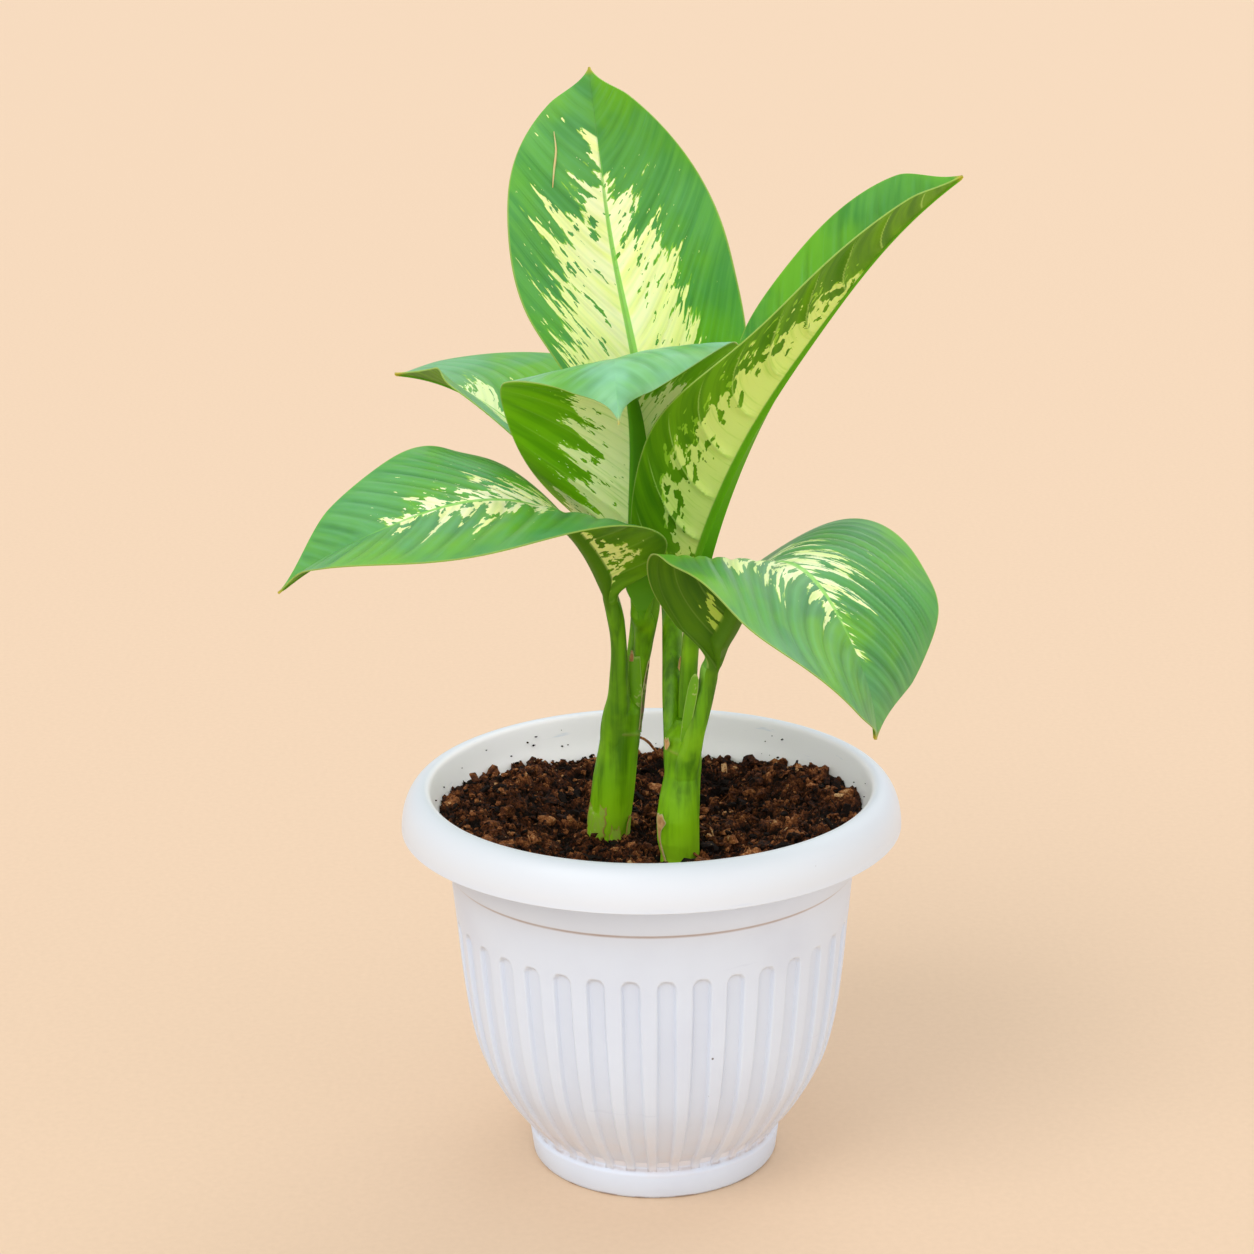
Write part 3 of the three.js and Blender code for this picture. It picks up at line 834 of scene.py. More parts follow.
@dataclass
class Soil:
    """The soil that fills the pot, with crumbs, bark chips and root fibres on it."""

    pot: Pot
    canes: list
    side_level: float = 164.6
    back_level: float = 157.0
    dish_level: float = 150.6
    dish_radius: float = 34.0
    edge_radius: float = 90.0
    clearance: float = 0.5
    mounds: tuple = ((64, 40, 11, 4.5), (-52, 46, 12, 3.0), (24, -4, 10, 3.0), (-62, 22, 9, 2.5))
    rings: int = 110
    sides: int = 330
    grains: int = 3200
    clods: int = 460
    chips: int = 300
    fibres: int = 150
    wall_bits: int = 70
    seed: int = 7
    finish: SoilFinish = SoilFinish()

    def level(self, x: float, y: float) -> float:
        """The height of the soil at a place, without its lumps."""
        rise = float(smooth(math.hypot(x, y), self.dish_radius, self.edge_radius - 4))
        turned = math.degrees(math.atan2(abs(x), y))
        wall_level = mix(self.back_level, self.side_level, float(smooth(turned, 15, 90)))
        wall_level -= 3.0 * float(smooth(turned, 110, 160))
        heap = sum(height * math.exp(-((x - mx) ** 2 + (y - my) ** 2) / radius**2)
                   for mx, my, radius, height in self.mounds)
        return self.dish_level + (wall_level - self.dish_level) * rise + heap

    def height(self, x: float, y: float) -> float:
        """The height of the soil's lumpy surface at a place."""
        where = Vector((x, y, 0))
        drift = noise.noise_vector(where / 5) * 4.5
        lumps = noise.fractal(where / 16, 0.9, 2.1, 3)
        clods = 0.5 - noise.voronoi((where + drift) / 10.5 + Vector((3, 1, 0.4)))[0][0]
        bits = 0.45 - noise.voronoi((where + drift) / 3.4 + Vector((1, 7, 0.2)))[0][0]
        crust = noise.fractal(where / 2.2 + Vector((9, 4, 2)), 0.8, 2.0, 3)
        return (self.level(x, y) + 2.0 * lumps + 6.5 * clods * (0.75 + 0.5 * lumps)
                + 3.6 * bits + 2.2 * crust)

    def bed(self) -> bpy.types.Object:
        """Makes the body of the soil, with its rough top."""
        angles = np.linspace(0, 2 * math.pi, self.sides, endpoint=False)
        inner = [(self.pot.floor_thickness + 0.3, 30), (self.pot.floor_thickness + 0.3, 50),
                 (12.5, 51.6)]
        inner += [(h + 1, r - self.pot.wall - 1.2) for h, r in self.pot.belly if 20 < h < 100]
        inner += [(139.5, 86.2), (150, 86.8), (155.6, 87.2)]
        rows = [[(r * math.sin(a), -r * math.cos(a), h, 0.2) for a in angles] for h, r in inner]
        edges = []
        for a in angles:
            top = max(156.3, self.height(self.edge_radius * math.sin(a),
                                         -self.edge_radius * math.cos(a)))
            edges.append(self.pot.inner_radius(top) - self.clearance)
        for k in range(self.rings):
            share = (1 - k / self.rings) ** 0.92
            row = []
            for a, edge in zip(angles, edges):
                x, y = edge * share * math.sin(a), -edge * share * math.cos(a)
                height = self.height(x, y)
                # Painted shade: lift falls with the height below the plain level, so hollows come out
                # darker.
                row.append((x, y, height, 0.4 + (height - self.level(x, y)) / 9))
            rows.append(row)
        places = np.array(rows)
        lift = np.clip(places[..., 3], 0, 1)
        soil = sheet_of_points("soil_bed", places[..., :3], True, {"lift": lift})
        return settle(soil, Slot.SOIL, self.finish.material("soil_bed", 0.0), "soil",
                      smooth_angle=40)

    def lumps(self, subdivisions: int, roughness: float) -> list[tuple]:
        """Models a few rough lumps and gives their points and faces.

        Args:
            subdivisions: how finely each is divided.
            roughness: how uneven each is.

        Returns:
            (points, faces) pairs.
        """
        shapes = []
        for n in range(8):
            deselect_all()
            bpy.ops.mesh.primitive_ico_sphere_add(subdivisions=subdivisions, radius=1)
            ball = bpy.context.object
            bpy.ops.object.mode_set(mode="EDIT")
            bpy.ops.transform.resize(value=(1.0, 0.62 + 0.05 * n, 0.78 - 0.04 * n))
            bpy.ops.object.mode_set(mode="OBJECT")
            for vertex in ball.data.vertices:
                shift = vertex.co * 1.7 + Vector((n * 5.1, 2.3, 1.7))
                vertex.co *= 1 + roughness * noise.fractal(shift, 0.6, 2.0, 3)
            shapes.append((np.array([v.co for v in ball.data.vertices]),
                           [list(p.vertices) for p in ball.data.polygons]))
            bpy.data.objects.remove(ball)
        return shapes

    def spot(self, dice: random.Random) -> tuple[float, float]:
        """A random place on the soil, clear of the canes."""
        while True:
            radius, angle = 88.5 * math.sqrt(dice.random()), dice.uniform(0, 2 * math.pi)
            x, y = radius * math.cos(angle), radius * math.sin(angle)
            if all(math.hypot(x - cx, y - cy) > reach for cx, cy, reach in self.canes):
                return x, y

    def joined(self, name: str, parts: list, pale: float, smooth_angle: float) -> bpy.types.Object:
        """Joins many small shapes into one finished piece.

        Args:
            name: the piece's name.
            parts: (points, faces, lift) for each shape, in millimetres.
            pale: how much lighter than the bed it is.
            smooth_angle: edges sharper than this many degrees stay sharp.

        Returns:
            The piece.
        """
        points, faces, lifts, start = [], [], [], 0
        for place, face, lift in parts:
            points.append(place)
            faces.extend([start + corner for corner in corners] for corners in face)
            lifts.append(np.full(len(place), lift))
            start += len(place)
        mesh = bpy.data.meshes.new(name)
        mesh.from_pydata((np.concatenate(points) * MM).tolist(), [], faces)
        mesh.attributes.new("lift", "FLOAT", "POINT").data.foreach_set("value", np.concatenate(lifts))
        piece = bpy.data.objects.new(name, mesh)
        bpy.context.scene.collection.objects.link(piece)
        return settle(piece, Slot.SOIL, self.finish.material(name, pale), smooth_angle=smooth_angle)

    def scatter_crumbs(self) -> None:
        """Strews clods and grains over the soil, and a few bits up the wall behind it."""
        dice = random.Random(self.seed)
        clods, grains = self.lumps(2, 0.75), self.lumps(1, 0.6)
        parts = []
        for n in range(self.clods + self.grains):
            is_clod = n < self.clods
            x, y = self.spot(dice)
            size = 1.1 + 3.6 * dice.random() ** 3 if is_clod else 0.35 + 1.5 * dice.random() ** 2
            points, faces = dice.choice(clods if is_clod else grains)
            turn = np.array(Matrix.Rotation(dice.uniform(0, 6.28), 3, "Z")
                            @ Matrix.Rotation(dice.uniform(-0.7, 0.7), 3, "X"))
            height = self.height(x, y) + size * dice.uniform(-0.3, 0.35)
            parts.append((points @ turn.T * size + (x, y, height), faces, dice.uniform(0.05, 0.85)))
        for _ in range(self.wall_bits):
            angle, size = dice.uniform(0, 2 * math.pi), 0.25 + 0.6 * dice.random() ** 2
            height = 161 + 9 * dice.random() ** 3
            radius = self.pot.inner_radius(height) - 0.25 * size
            points, faces = dice.choice(grains)
            place = (radius * math.sin(angle), -radius * math.cos(angle), height)
            parts.append((points * size + place, faces, dice.uniform(0.0, 0.4)))
        self.joined("soil_crumbs", parts, 0.0, 14)

    def tube(self, points: np.ndarray, radius: float, sides: int = 5) -> tuple:
        """The points and faces of a thin tapered tube.

        Args:
            points: its path.
            radius: its radius at the middle.
            sides: how many sides it has.

        Returns:
            Its points and its faces.
        """
        faces = [(k * sides + i, k * sides + (i + 1) % sides,
                  (k + 1) * sides + (i + 1) % sides, (k + 1) * sides + i)
                 for k in range(len(points) - 1) for i in range(sides)]
        last = (len(points) - 1) * sides
        ends = [list(range(sides))[::-1], list(range(last, last + sides))]
        return thin_rings(points, radius, sides).reshape(-1, 3), faces + ends

    def scatter_fibres(self) -> None:
        """Lays root fibres over the soil, with one thin root that curls up at the back."""
        dice = random.Random(self.seed + 1)
        parts = []
        for _ in range(self.fibres):
            x, y = self.spot(dice)
            heading, length = dice.uniform(0, 6.28), dice.uniform(5, 20)
            bend, points = dice.uniform(-1.4, 1.4), []
            for k in range(9):
                share = k / 8
                angle = heading + bend * share
                px = x + length * (share - 0.5) * math.cos(angle)
                py = y + length * (share - 0.5) * math.sin(angle)
                arch = 0.9 * math.sin(math.pi * share) + dice.uniform(0, 0.35)
                if math.hypot(px, py) < 87:
                    points.append((px, py, self.height(px, py) + arch))
            if len(points) > 3:
                tube = self.tube(np.array(points), dice.uniform(0.12, 0.38))
                parts.append((*tube, dice.uniform(0.1, 0.9)))
        self.joined("root_fibres", parts, -0.05, 50)
        curl = path_through([(12, 44, 160), (8, 46, 168), (2.4, 48, 173), (-0.6, 49, 176.4),
                             (-4.5, 50, 178.4), (-9, 51, 177), (-14, 52, 171)], 40)
        root = sheet_of_points("thin_root", thin_rings(curl, 0.65, 8), True,
                               {"lift": np.full((40, 8), 0.75)})
        settle(root, Slot.SOIL, self.finish.material("thin_root", 0.0))

    def scatter_chips(self) -> None:
        """Strews thin bark chips and straw over the soil."""
        dice = random.Random(self.seed + 2)
        deselect_all()
        bpy.ops.mesh.primitive_cube_add(size=2)
        slab = bpy.context.object
        bpy.ops.object.mode_set(mode="EDIT")
        bpy.ops.mesh.select_all(action="SELECT")
        bpy.ops.transform.resize(value=(1, 0.5, 0.2))
        bpy.ops.mesh.bevel(offset=0.12, segments=1, affect="EDGES")
        bpy.ops.object.mode_set(mode="OBJECT")
        points = np.array([v.co for v in slab.data.vertices])
        faces = [list(p.vertices) for p in slab.data.polygons]
        bpy.data.objects.remove(slab)
        parts = []
        for _ in range(self.chips):
            x, y = self.spot(dice)
            size = 0.6 + 2.8 * dice.random() ** 2
            turn = np.array(Matrix.Rotation(dice.uniform(0, 6.28), 3, "Z")
                            @ Matrix.Rotation(dice.uniform(-0.9, 0.9), 3, "Y"))
            place = (x, y, self.height(x, y) + size * 0.25)
            parts.append((points @ turn.T * size + place, faces, dice.random() ** 1.6))
        self.joined("bark_chips", parts, 0.08, 30)

    def build(self) -> None:
        """Makes the soil and all that lies on it."""
        self.bed()
        self.scatter_crumbs()
        self.scatter_fibres()
        self.scatter_chips()


# ---------------------------------------------------------------- stems


@dataclass(frozen=True)
class StemFinish:
    """Waxy green stem, paler near the soil, with fine streaks along it."""

    green: tuple = colour(110, 170, 2)
    deep: tuple = colour(72, 122, 0)
    bright: tuple = colour(142, 200, 10)
    base: tuple = colour(150, 206, 34)
    scar: tuple = colour(186, 150, 100)
    roughness: float = 0.42

    def paint(self, shader: Shader) -> Value:
        """The stem's colour at each place.

        Args:
            shader: the material that it goes into.

        Returns:
            The colour.
        """
        place = shader.place()
        height = shader.part(place, "Z") * 1000
        long_streaks = shader.noise(shader.scaled(place, (240, 240, 14)), 1, 4, 0.6)
        clouds = shader.noise(place, 48, 3)
        paint = shader.blend(long_streaks.rise(0.32, 0.66), self.deep, self.green)
        paint = shader.blend(clouds.rise(0.45, 0.7) * 0.6, paint, self.bright)
        low = height.rise(196, 158) * 0.85
        paint = shader.blend(low * long_streaks.rise(0.2, 0.55), paint, self.bright)
        paint = shader.blend(height.rise(168, 153) * 0.7 * clouds.rise(0.3, 0.6), paint, self.base)
        marks = shader.noise(place, 260, 4, 0.7).rise(0.7, 0.76) * height.rise(225, 180)
        return shader.blend(marks * 0.4, paint, self.scar)

    def material(self) -> bpy.types.Material:
        """Makes the finish."""
        shader = Shader("cane_skin")
        place = shader.place()
        grain = shader.noise(shader.scaled(place, (900, 900, 70)), 1, 3)
        paint = shader.blend(shader.attribute("ring") * 0.3, self.paint(shader), self.scar)
        return shader.finish({"Base Color": paint, "Roughness": self.roughness + 0.16 * grain,
                              "Normal": shader.bump(grain, 0.25, 0.6),
                              "Specular IOR Level": 0.16, "Coat Weight": 0.08,
                              "Coat Roughness": 0.25, "Subsurface Weight": 0.1,
                              "Subsurface Scale": 0.003, "Subsurface Radius": (0.6, 1.0, 0.1)})


@dataclass
class Cane:
    """A short green cane that stands in the soil, with a scar ring where a leaf once sat."""

    name: str
    node: str
    axis: list
    scar_height: float
    scar_dip: float
    scar_facing: float
    ring_step: float = 0.6
    ring_width: float = 0.55
    ring_proud: float = 0.3
    sides: int = 64
    finish: StemFinish = StemFinish()

    def build(self) -> bpy.types.Object:
        """Makes the cane."""
        points = np.array(self.axis, float)
        heights = np.arange(points[0, 2], points[-1, 2], self.ring_step)
        x, y, r = (np.interp(heights, points[:, 2], points[:, k]) for k in (0, 1, 3))
        angles = np.linspace(0, 2 * math.pi, self.sides, endpoint=False)
        facing = math.radians(self.scar_facing)
        scar = self.scar_height + self.scar_dip * np.cos(angles - facing)
        ring = np.exp(-((heights[:, None] - scar[None]) / self.ring_width) ** 2)
        swell = 0.25 * np.exp(-((heights[:, None] - scar[None] + 3) / 3.5) ** 2)
        flutes = 0.16 * np.sin(5 * angles)[None] + 0.1 * np.sin(9 * angles + 1)[None]
        reach = (r[:, None] + self.ring_proud * ring + swell
                 + flutes * smooth(heights, 150, 175)[:, None])
        closing = smooth(heights[-1] - heights, 0, 8)
        reach = reach * (0.45 + 0.55 * closing)[:, None]
        places = np.stack([x[:, None] + reach * np.sin(angles), y[:, None] - reach * np.cos(angles),
                           np.broadcast_to(heights[:, None], reach.shape)], 2)
        cane = sheet_of_points(self.name, places, True, {"ring": ring * 0.9})
        return settle(cane, Slot.CANE, self.finish.material(), self.node)


class Age(Enum):
    """How old a leaf sheath is."""

    FRESH = "fresh"
    TORN = "torn"
    DRIED = "dried"
    STRAW = "straw"
    PURPLE = "purple"


@dataclass(frozen=True)
class SheathFinish:
    """Thin sheath, green with a pale edge when fresh, and papery tan or purple when old."""

    fresh: tuple = colour(108, 164, 30)
    edge: tuple = colour(190, 216, 120)
    torn: tuple = colour(150, 182, 60)
    tan: tuple = colour(220, 176, 116)
    brown: tuple = colour(168, 116, 68)
    purple: tuple = colour(112, 80, 70)
    pale: tuple = colour(206, 200, 142)

    def material(self, age: Age) -> bpy.types.Material:
        """Makes the finish.

        Args:
            age: how old the sheath is.

        Returns:
            The material.
        """
        first, second, border = {
            Age.FRESH: (self.fresh, StemFinish.green, self.edge),
            Age.TORN: (self.torn, StemFinish.bright, self.brown),
            Age.DRIED: (self.tan, self.brown, self.pale),
            Age.STRAW: (self.pale, self.tan, self.pale),
            Age.PURPLE: (self.purple, StemFinish.deep, self.pale),
        }[age]
        shader = Shader(f"sheath_{age.value}")
        place = shader.place()
        fibres = shader.noise(shader.scaled(place, (420, 420, 60)), 1, 4, 0.6)
        blots = shader.noise(place, 330, 3)
        paint = shader.blend((fibres * 0.5 + blots * 0.5).rise(0.4, 0.62), first, second)
        paint = shader.blend(blots.rise(0.6, 0.7) * 0.4, paint, self.pale)
        frayed = 0.5 if age is Age.FRESH else 0.85
        paint = shader.blend(shader.attribute("edge").rise(0.8, 1.0) * frayed, paint, border)
        return shader.finish({"Base Color": paint, "Roughness": 0.5 + 0.2 * fibres,
                              "Specular IOR Level": 0.3,
                              "Normal": shader.bump(fibres, 0.2, 0.7)})


@dataclass
class Sheath:
    """A thin strap of leaf sheath that lies round a stem.

    line holds x, y, z and the half width at places along it, facing is the side that it turns
    to in degrees (0 to the front, 90 to the right), and cup is the radius that it curls round.
    """

    name: str
    line: list
    facing: float
    cup: float
    age: Age
    ragged: float = 0.4
    thickness: float = 0.4
    rows: int = 36
    columns: int = 12
    finish: SheathFinish = SheathFinish()

    def build(self) -> bpy.types.Object:
        """Makes the sheath."""
        path = flowing(self.line, self.rows)
        side = np.linspace(-1, 1, self.columns)
        turn = math.radians(self.facing)
        outward = np.array([math.sin(turn), -math.cos(turn), 0])
        sideways = np.array([math.cos(turn), math.sin(turn), 0])
        tear = np.array([[noise.noise(Vector((j * 3.1, p[2] * 0.5, self.facing))) for j in (0, 1)]
                         for p in path])
        width = path[:, 3:4] * (1 + 0.25 * self.ragged * np.where(side < 0, tear[:, :1], tear[:, 1:]))
        angle = side * width / self.cup
        places = (path[:, None, :3] + (self.cup * np.sin(angle))[..., None] * sideways
                  - (self.cup * (1 - np.cos(angle)))[..., None] * outward)
        jag = np.array([noise.noise(Vector((s * 2.4, 1.3, self.facing))) for s in side])
        last = smooth(np.arange(self.rows), self.rows - 6, self.rows - 1)[:, None]
        places[..., 2] += 2.2 * self.ragged * jag * last
        edge = np.maximum(np.abs(side)[None], last * 0.98)
        strap = sheet_of_points(self.name, places, False, {"edge": edge})
        choose(strap)
        plate = strap.modifiers.new("thickness", "SOLIDIFY")
        plate.thickness, plate.offset = self.thickness * MM, 0
        bpy.ops.object.modifier_apply(modifier=plate.name)
        material = self.finish.material(self.age)
        return settle(strap, Slot.CANE, material, smooth_angle=60)


# ---------------------------------------------------------------- leaves


@dataclass(frozen=True)
class Variegation:
    """The cream pattern and the veins of one leaf.

    left and right give how far the cream reaches along the vein that starts at each place of
    the rib, as (share of the rib's length, share of the half width) pairs. A side vein that
    starts at q on the rib has run forward by lean * v + curve * v * v when it is v out from it.
    """

    left: tuple
    right: tuple
    seed: float
    # How much of the cool tint there is, which is partly the leaf's own and partly painted sky sheen.
    cool_tint_and_sheen: float = 0.3
    ragged: float = 1.0
    islands: float = 1.0
    flecks: float = 1.0
    shift: float = 0.0
    fill: float = 0.585
    hole_zone: float = 26.0
    stretch: float = 1.0
    rib_width: float = 0.8
    rib_end: float = 0.7
    vein_gap: float = 12.5
    vein_phase: float = 0.0
    # How strong the painted shade in the vein grooves and the painted highlight on their banks are.
    groove_shade_and_highlight: float = 0.12
    pale_veins: float = 0.12
    begin: tuple[float, float] = (-0.05, 0.03)
    coarse: float = 1.0
    lace: float = 0.0
    lean: tuple[float, float] = (0.8, 0.8)
    curve: tuple[float, float] = (0.014, 0.014)


@dataclass(frozen=True)
class LeafFinish:
    """Waxy leaf: green above with a cool tint that is partly painted sky sheen, warm green and duller
    underneath, with cream patches, and painted shade and highlight along the veins of its upper face.
    """

    upper: tuple = colour(86, 158, 46)
    upper_bright: tuple = colour(110, 178, 24)
    upper_deep: tuple = colour(56, 134, 34)
    # Cool bluish green, partly the leaf's own tint and partly painted sky sheen; also the painted highlight
    # beside the vein grooves.
    upper_tint_and_sheen: tuple = colour(112, 180, 126)
    under: tuple = colour(104, 158, 4)
    under_deep: tuple = colour(72, 126, 0)
    cream: tuple = colour(252, 255, 206)
    cream_yellow: tuple = colour(242, 252, 164)
    cream_under: tuple = colour(230, 246, 150)
    fringe: tuple = colour(160, 208, 56)
    rib: tuple = colour(136, 204, 84)
    rib_under: tuple = colour(92, 158, 0)
    # Painted shade for the vein grooves of the upper face.
    groove: tuple = colour(40, 100, 30)
    vein_under: tuple = colour(186, 222, 112)
    margin: tuple = colour(150, 176, 84)
    tip: tuple = colour(196, 170, 60)
    roughness: float = 0.42

    def cream_mask(self, shader: Shader, look: Variegation, half: tuple) -> tuple[Value, Value]:
        """Where the leaf is cream.

        Args:
            shader: the material that it goes into.
            look: the leaf's own pattern.
            half: the half width of its left and right side, in millimetres.

        Returns:
            The cream's share, and the share with its greenish fringe included.
        """
        vein, reach = shader.attribute("vein"), shader.attribute("reach")
        across = shader.attribute("across")
        out, right = across.size(), across.over(0)
        layer = right * 9.3 + look.seed
        border = (shader.curve(reach, list(look.left)) * (1 - right) * half[0]
                  + shader.curve(reach, list(look.right)) * right * half[1])
        far, wide = look.stretch, look.coarse
        fingers = shader.noise(shader.vector(vein / (4 * wide), out / (10 * far), layer), 1, 2, 0.5)
        jags = shader.noise(shader.vector(vein / (1.9 * wide), out / (3.4 * far), layer + 2), 1, 2, 0.5)
        holes = shader.noise(shader.vector(vein / (2.6 * wide), out / (5 * far), layer + 4), 1, 3, 0.5)
        flecks = shader.noise(shader.vector(vein / (1.6 * wide), out / (3 * far), layer + 8), 1, 2, 0.5)
        level = border - out + look.shift + ((fingers - 0.5) * 27 + (jags - 0.5) * 12) * look.ragged
        near_border = level.rise(look.hole_zone, 4)
        level = level - holes.rise(look.fill, look.fill + 0.06) * (4 + near_border * 24) * look.islands
        fleck = flecks.rise(0.68, 0.73) * level.rise(-20, -6) * 24 * look.flecks
        level = level + fleck
        present = border.rise(0.3, 1.2) * reach.rise(*look.begin)
        wash = level + (jags - 0.45) * look.lace
        return level.rise(-0.4, 0.5) * present, wash.rise(-2.0, -0.2) * present

    def material(self, leaf: "Leaf") -> bpy.types.Material:
        """Makes the finish for one leaf.

        Args:
            leaf: the leaf.

        Returns:
            The material.
        """
        shader, look = Shader(f"{leaf.name}_skin"), leaf.look
        place = shader.place()
        along, vein = shader.attribute("along"), shader.attribute("vein")
        out, share = shader.attribute("across").size(), shader.attribute("share").size()
        rib, under = shader.attribute("rib"), shader.attribute("under").over(0.5)
        right = shader.attribute("across").over(0)
        off_vein = (vein - look.vein_phase).folded(look.vein_gap)
        bands = shader.noise(shader.vector(vein / 8, out / 40, right * 5 + look.seed), 1, 3, 0.55)
        threads = shader.noise(shader.vector(vein / 1.6, out / 22, look.seed), 1, 3, 0.6)
        clouds = shader.noise(place, 24, 3)
        green = shader.blend(bands.rise(0.34, 0.66), self.upper_deep, self.upper)
        green = shader.blend(clouds.rise(0.44, 0.68) * 0.75, green, self.upper_bright)
        # A cool bluish tint in patches, partly the leaf's own and partly painted sheen from the sky.
        green = shader.blend(clouds.rise(0.7, 0.3) * look.cool_tint_and_sheen, green, self.upper_tint_and_sheen)
        green = shader.blend(threads.rise(0.6, 0.8) * 0.3, green, self.upper_tint_and_sheen)
        dull = shader.blend(bands.rise(0.3, 0.68), self.under_deep, self.under)
        dull = shader.blend(threads.rise(0.6, 0.8) * 0.25, dull, self.rib_under)
        cream_share, halo = self.cream_mask(shader, look, leaf.half)
        cream = shader.blend(bands.rise(0.3, 0.6) * out.rise(leaf.half[0] * 0.7, 4), self.cream_yellow,
                             self.cream)
        cream = shader.blend(threads.rise(0.58, 0.76) * 0.2, cream, self.fringe)
        cream_low = shader.blend(threads.rise(0.5, 0.75) * 0.5, self.cream_under, self.fringe)
        top = shader.blend(cream_share, shader.blend(halo * 0.7, green, self.fringe), cream)
        bottom = shader.blend(cream_share, shader.blend(halo * 0.75, dull, self.fringe), cream_low)
        line = off_vein.rise(0.75, 0.15) * out.rise(1.5, 5) * share.rise(0.97, 0.8)
        # Painted shade down the vein grooves and a painted highlight on their banks.
        valley_shade = off_vein.rise(2.6, 0.2) * out.rise(2, 8) * share.rise(1.0, 0.6)
        bank_highlight = off_vein.rise(1.8, 3.2) * off_vein.rise(5.2, 3.4) * share.rise(1.0, 0.6)
        top = shader.blend(valley_shade * look.groove_shade_and_highlight, top, self.groove)
        top = shader.blend(bank_highlight * look.groove_shade_and_highlight, top, self.upper_tint_and_sheen)
        bottom = shader.blend(line * look.pale_veins, bottom, self.vein_under)
        strip = (out / rib).rise(look.rib_width * 1.12, look.rib_width * 0.88)
        strip = strip * (along / leaf.length).rise(look.rib_end + 0.14, look.rib_end - 0.1)
        top = shader.blend(strip * 0.9, top, self.rib)
        bottom = shader.blend((out / rib).rise(1.25, 0.95), bottom, self.rib_under)
        paint = shader.blend(under, top, bottom)
        paint = shader.blend(share.rise(0.985, 0.997) * 0.7, paint, self.margin)
        paint = shader.blend(along.rise(leaf.length - 4, leaf.length - 0.5) * 0.7, paint, self.tip)
        paint = shader.blend(along.rise(5, -8), paint, StemFinish().paint(shader))
        relief = threads * 0.6 + line * (under * 2 - 1) * 0.4
        rough = self.roughness + 0.14 * threads + 0.12 * under
        return shader.finish({
            "Base Color": paint, "Roughness": rough, "Normal": shader.bump(relief, 0.3, 0.5),
            "Specular IOR Level": 0.25, "Coat Weight": (1 - under) * 0.2, "Coat Roughness": 0.32,
            "Subsurface Weight": 0.3, "Subsurface Scale": 0.003,
            "Subsurface Radius": (0.7, 1.0, 0.15),
        })


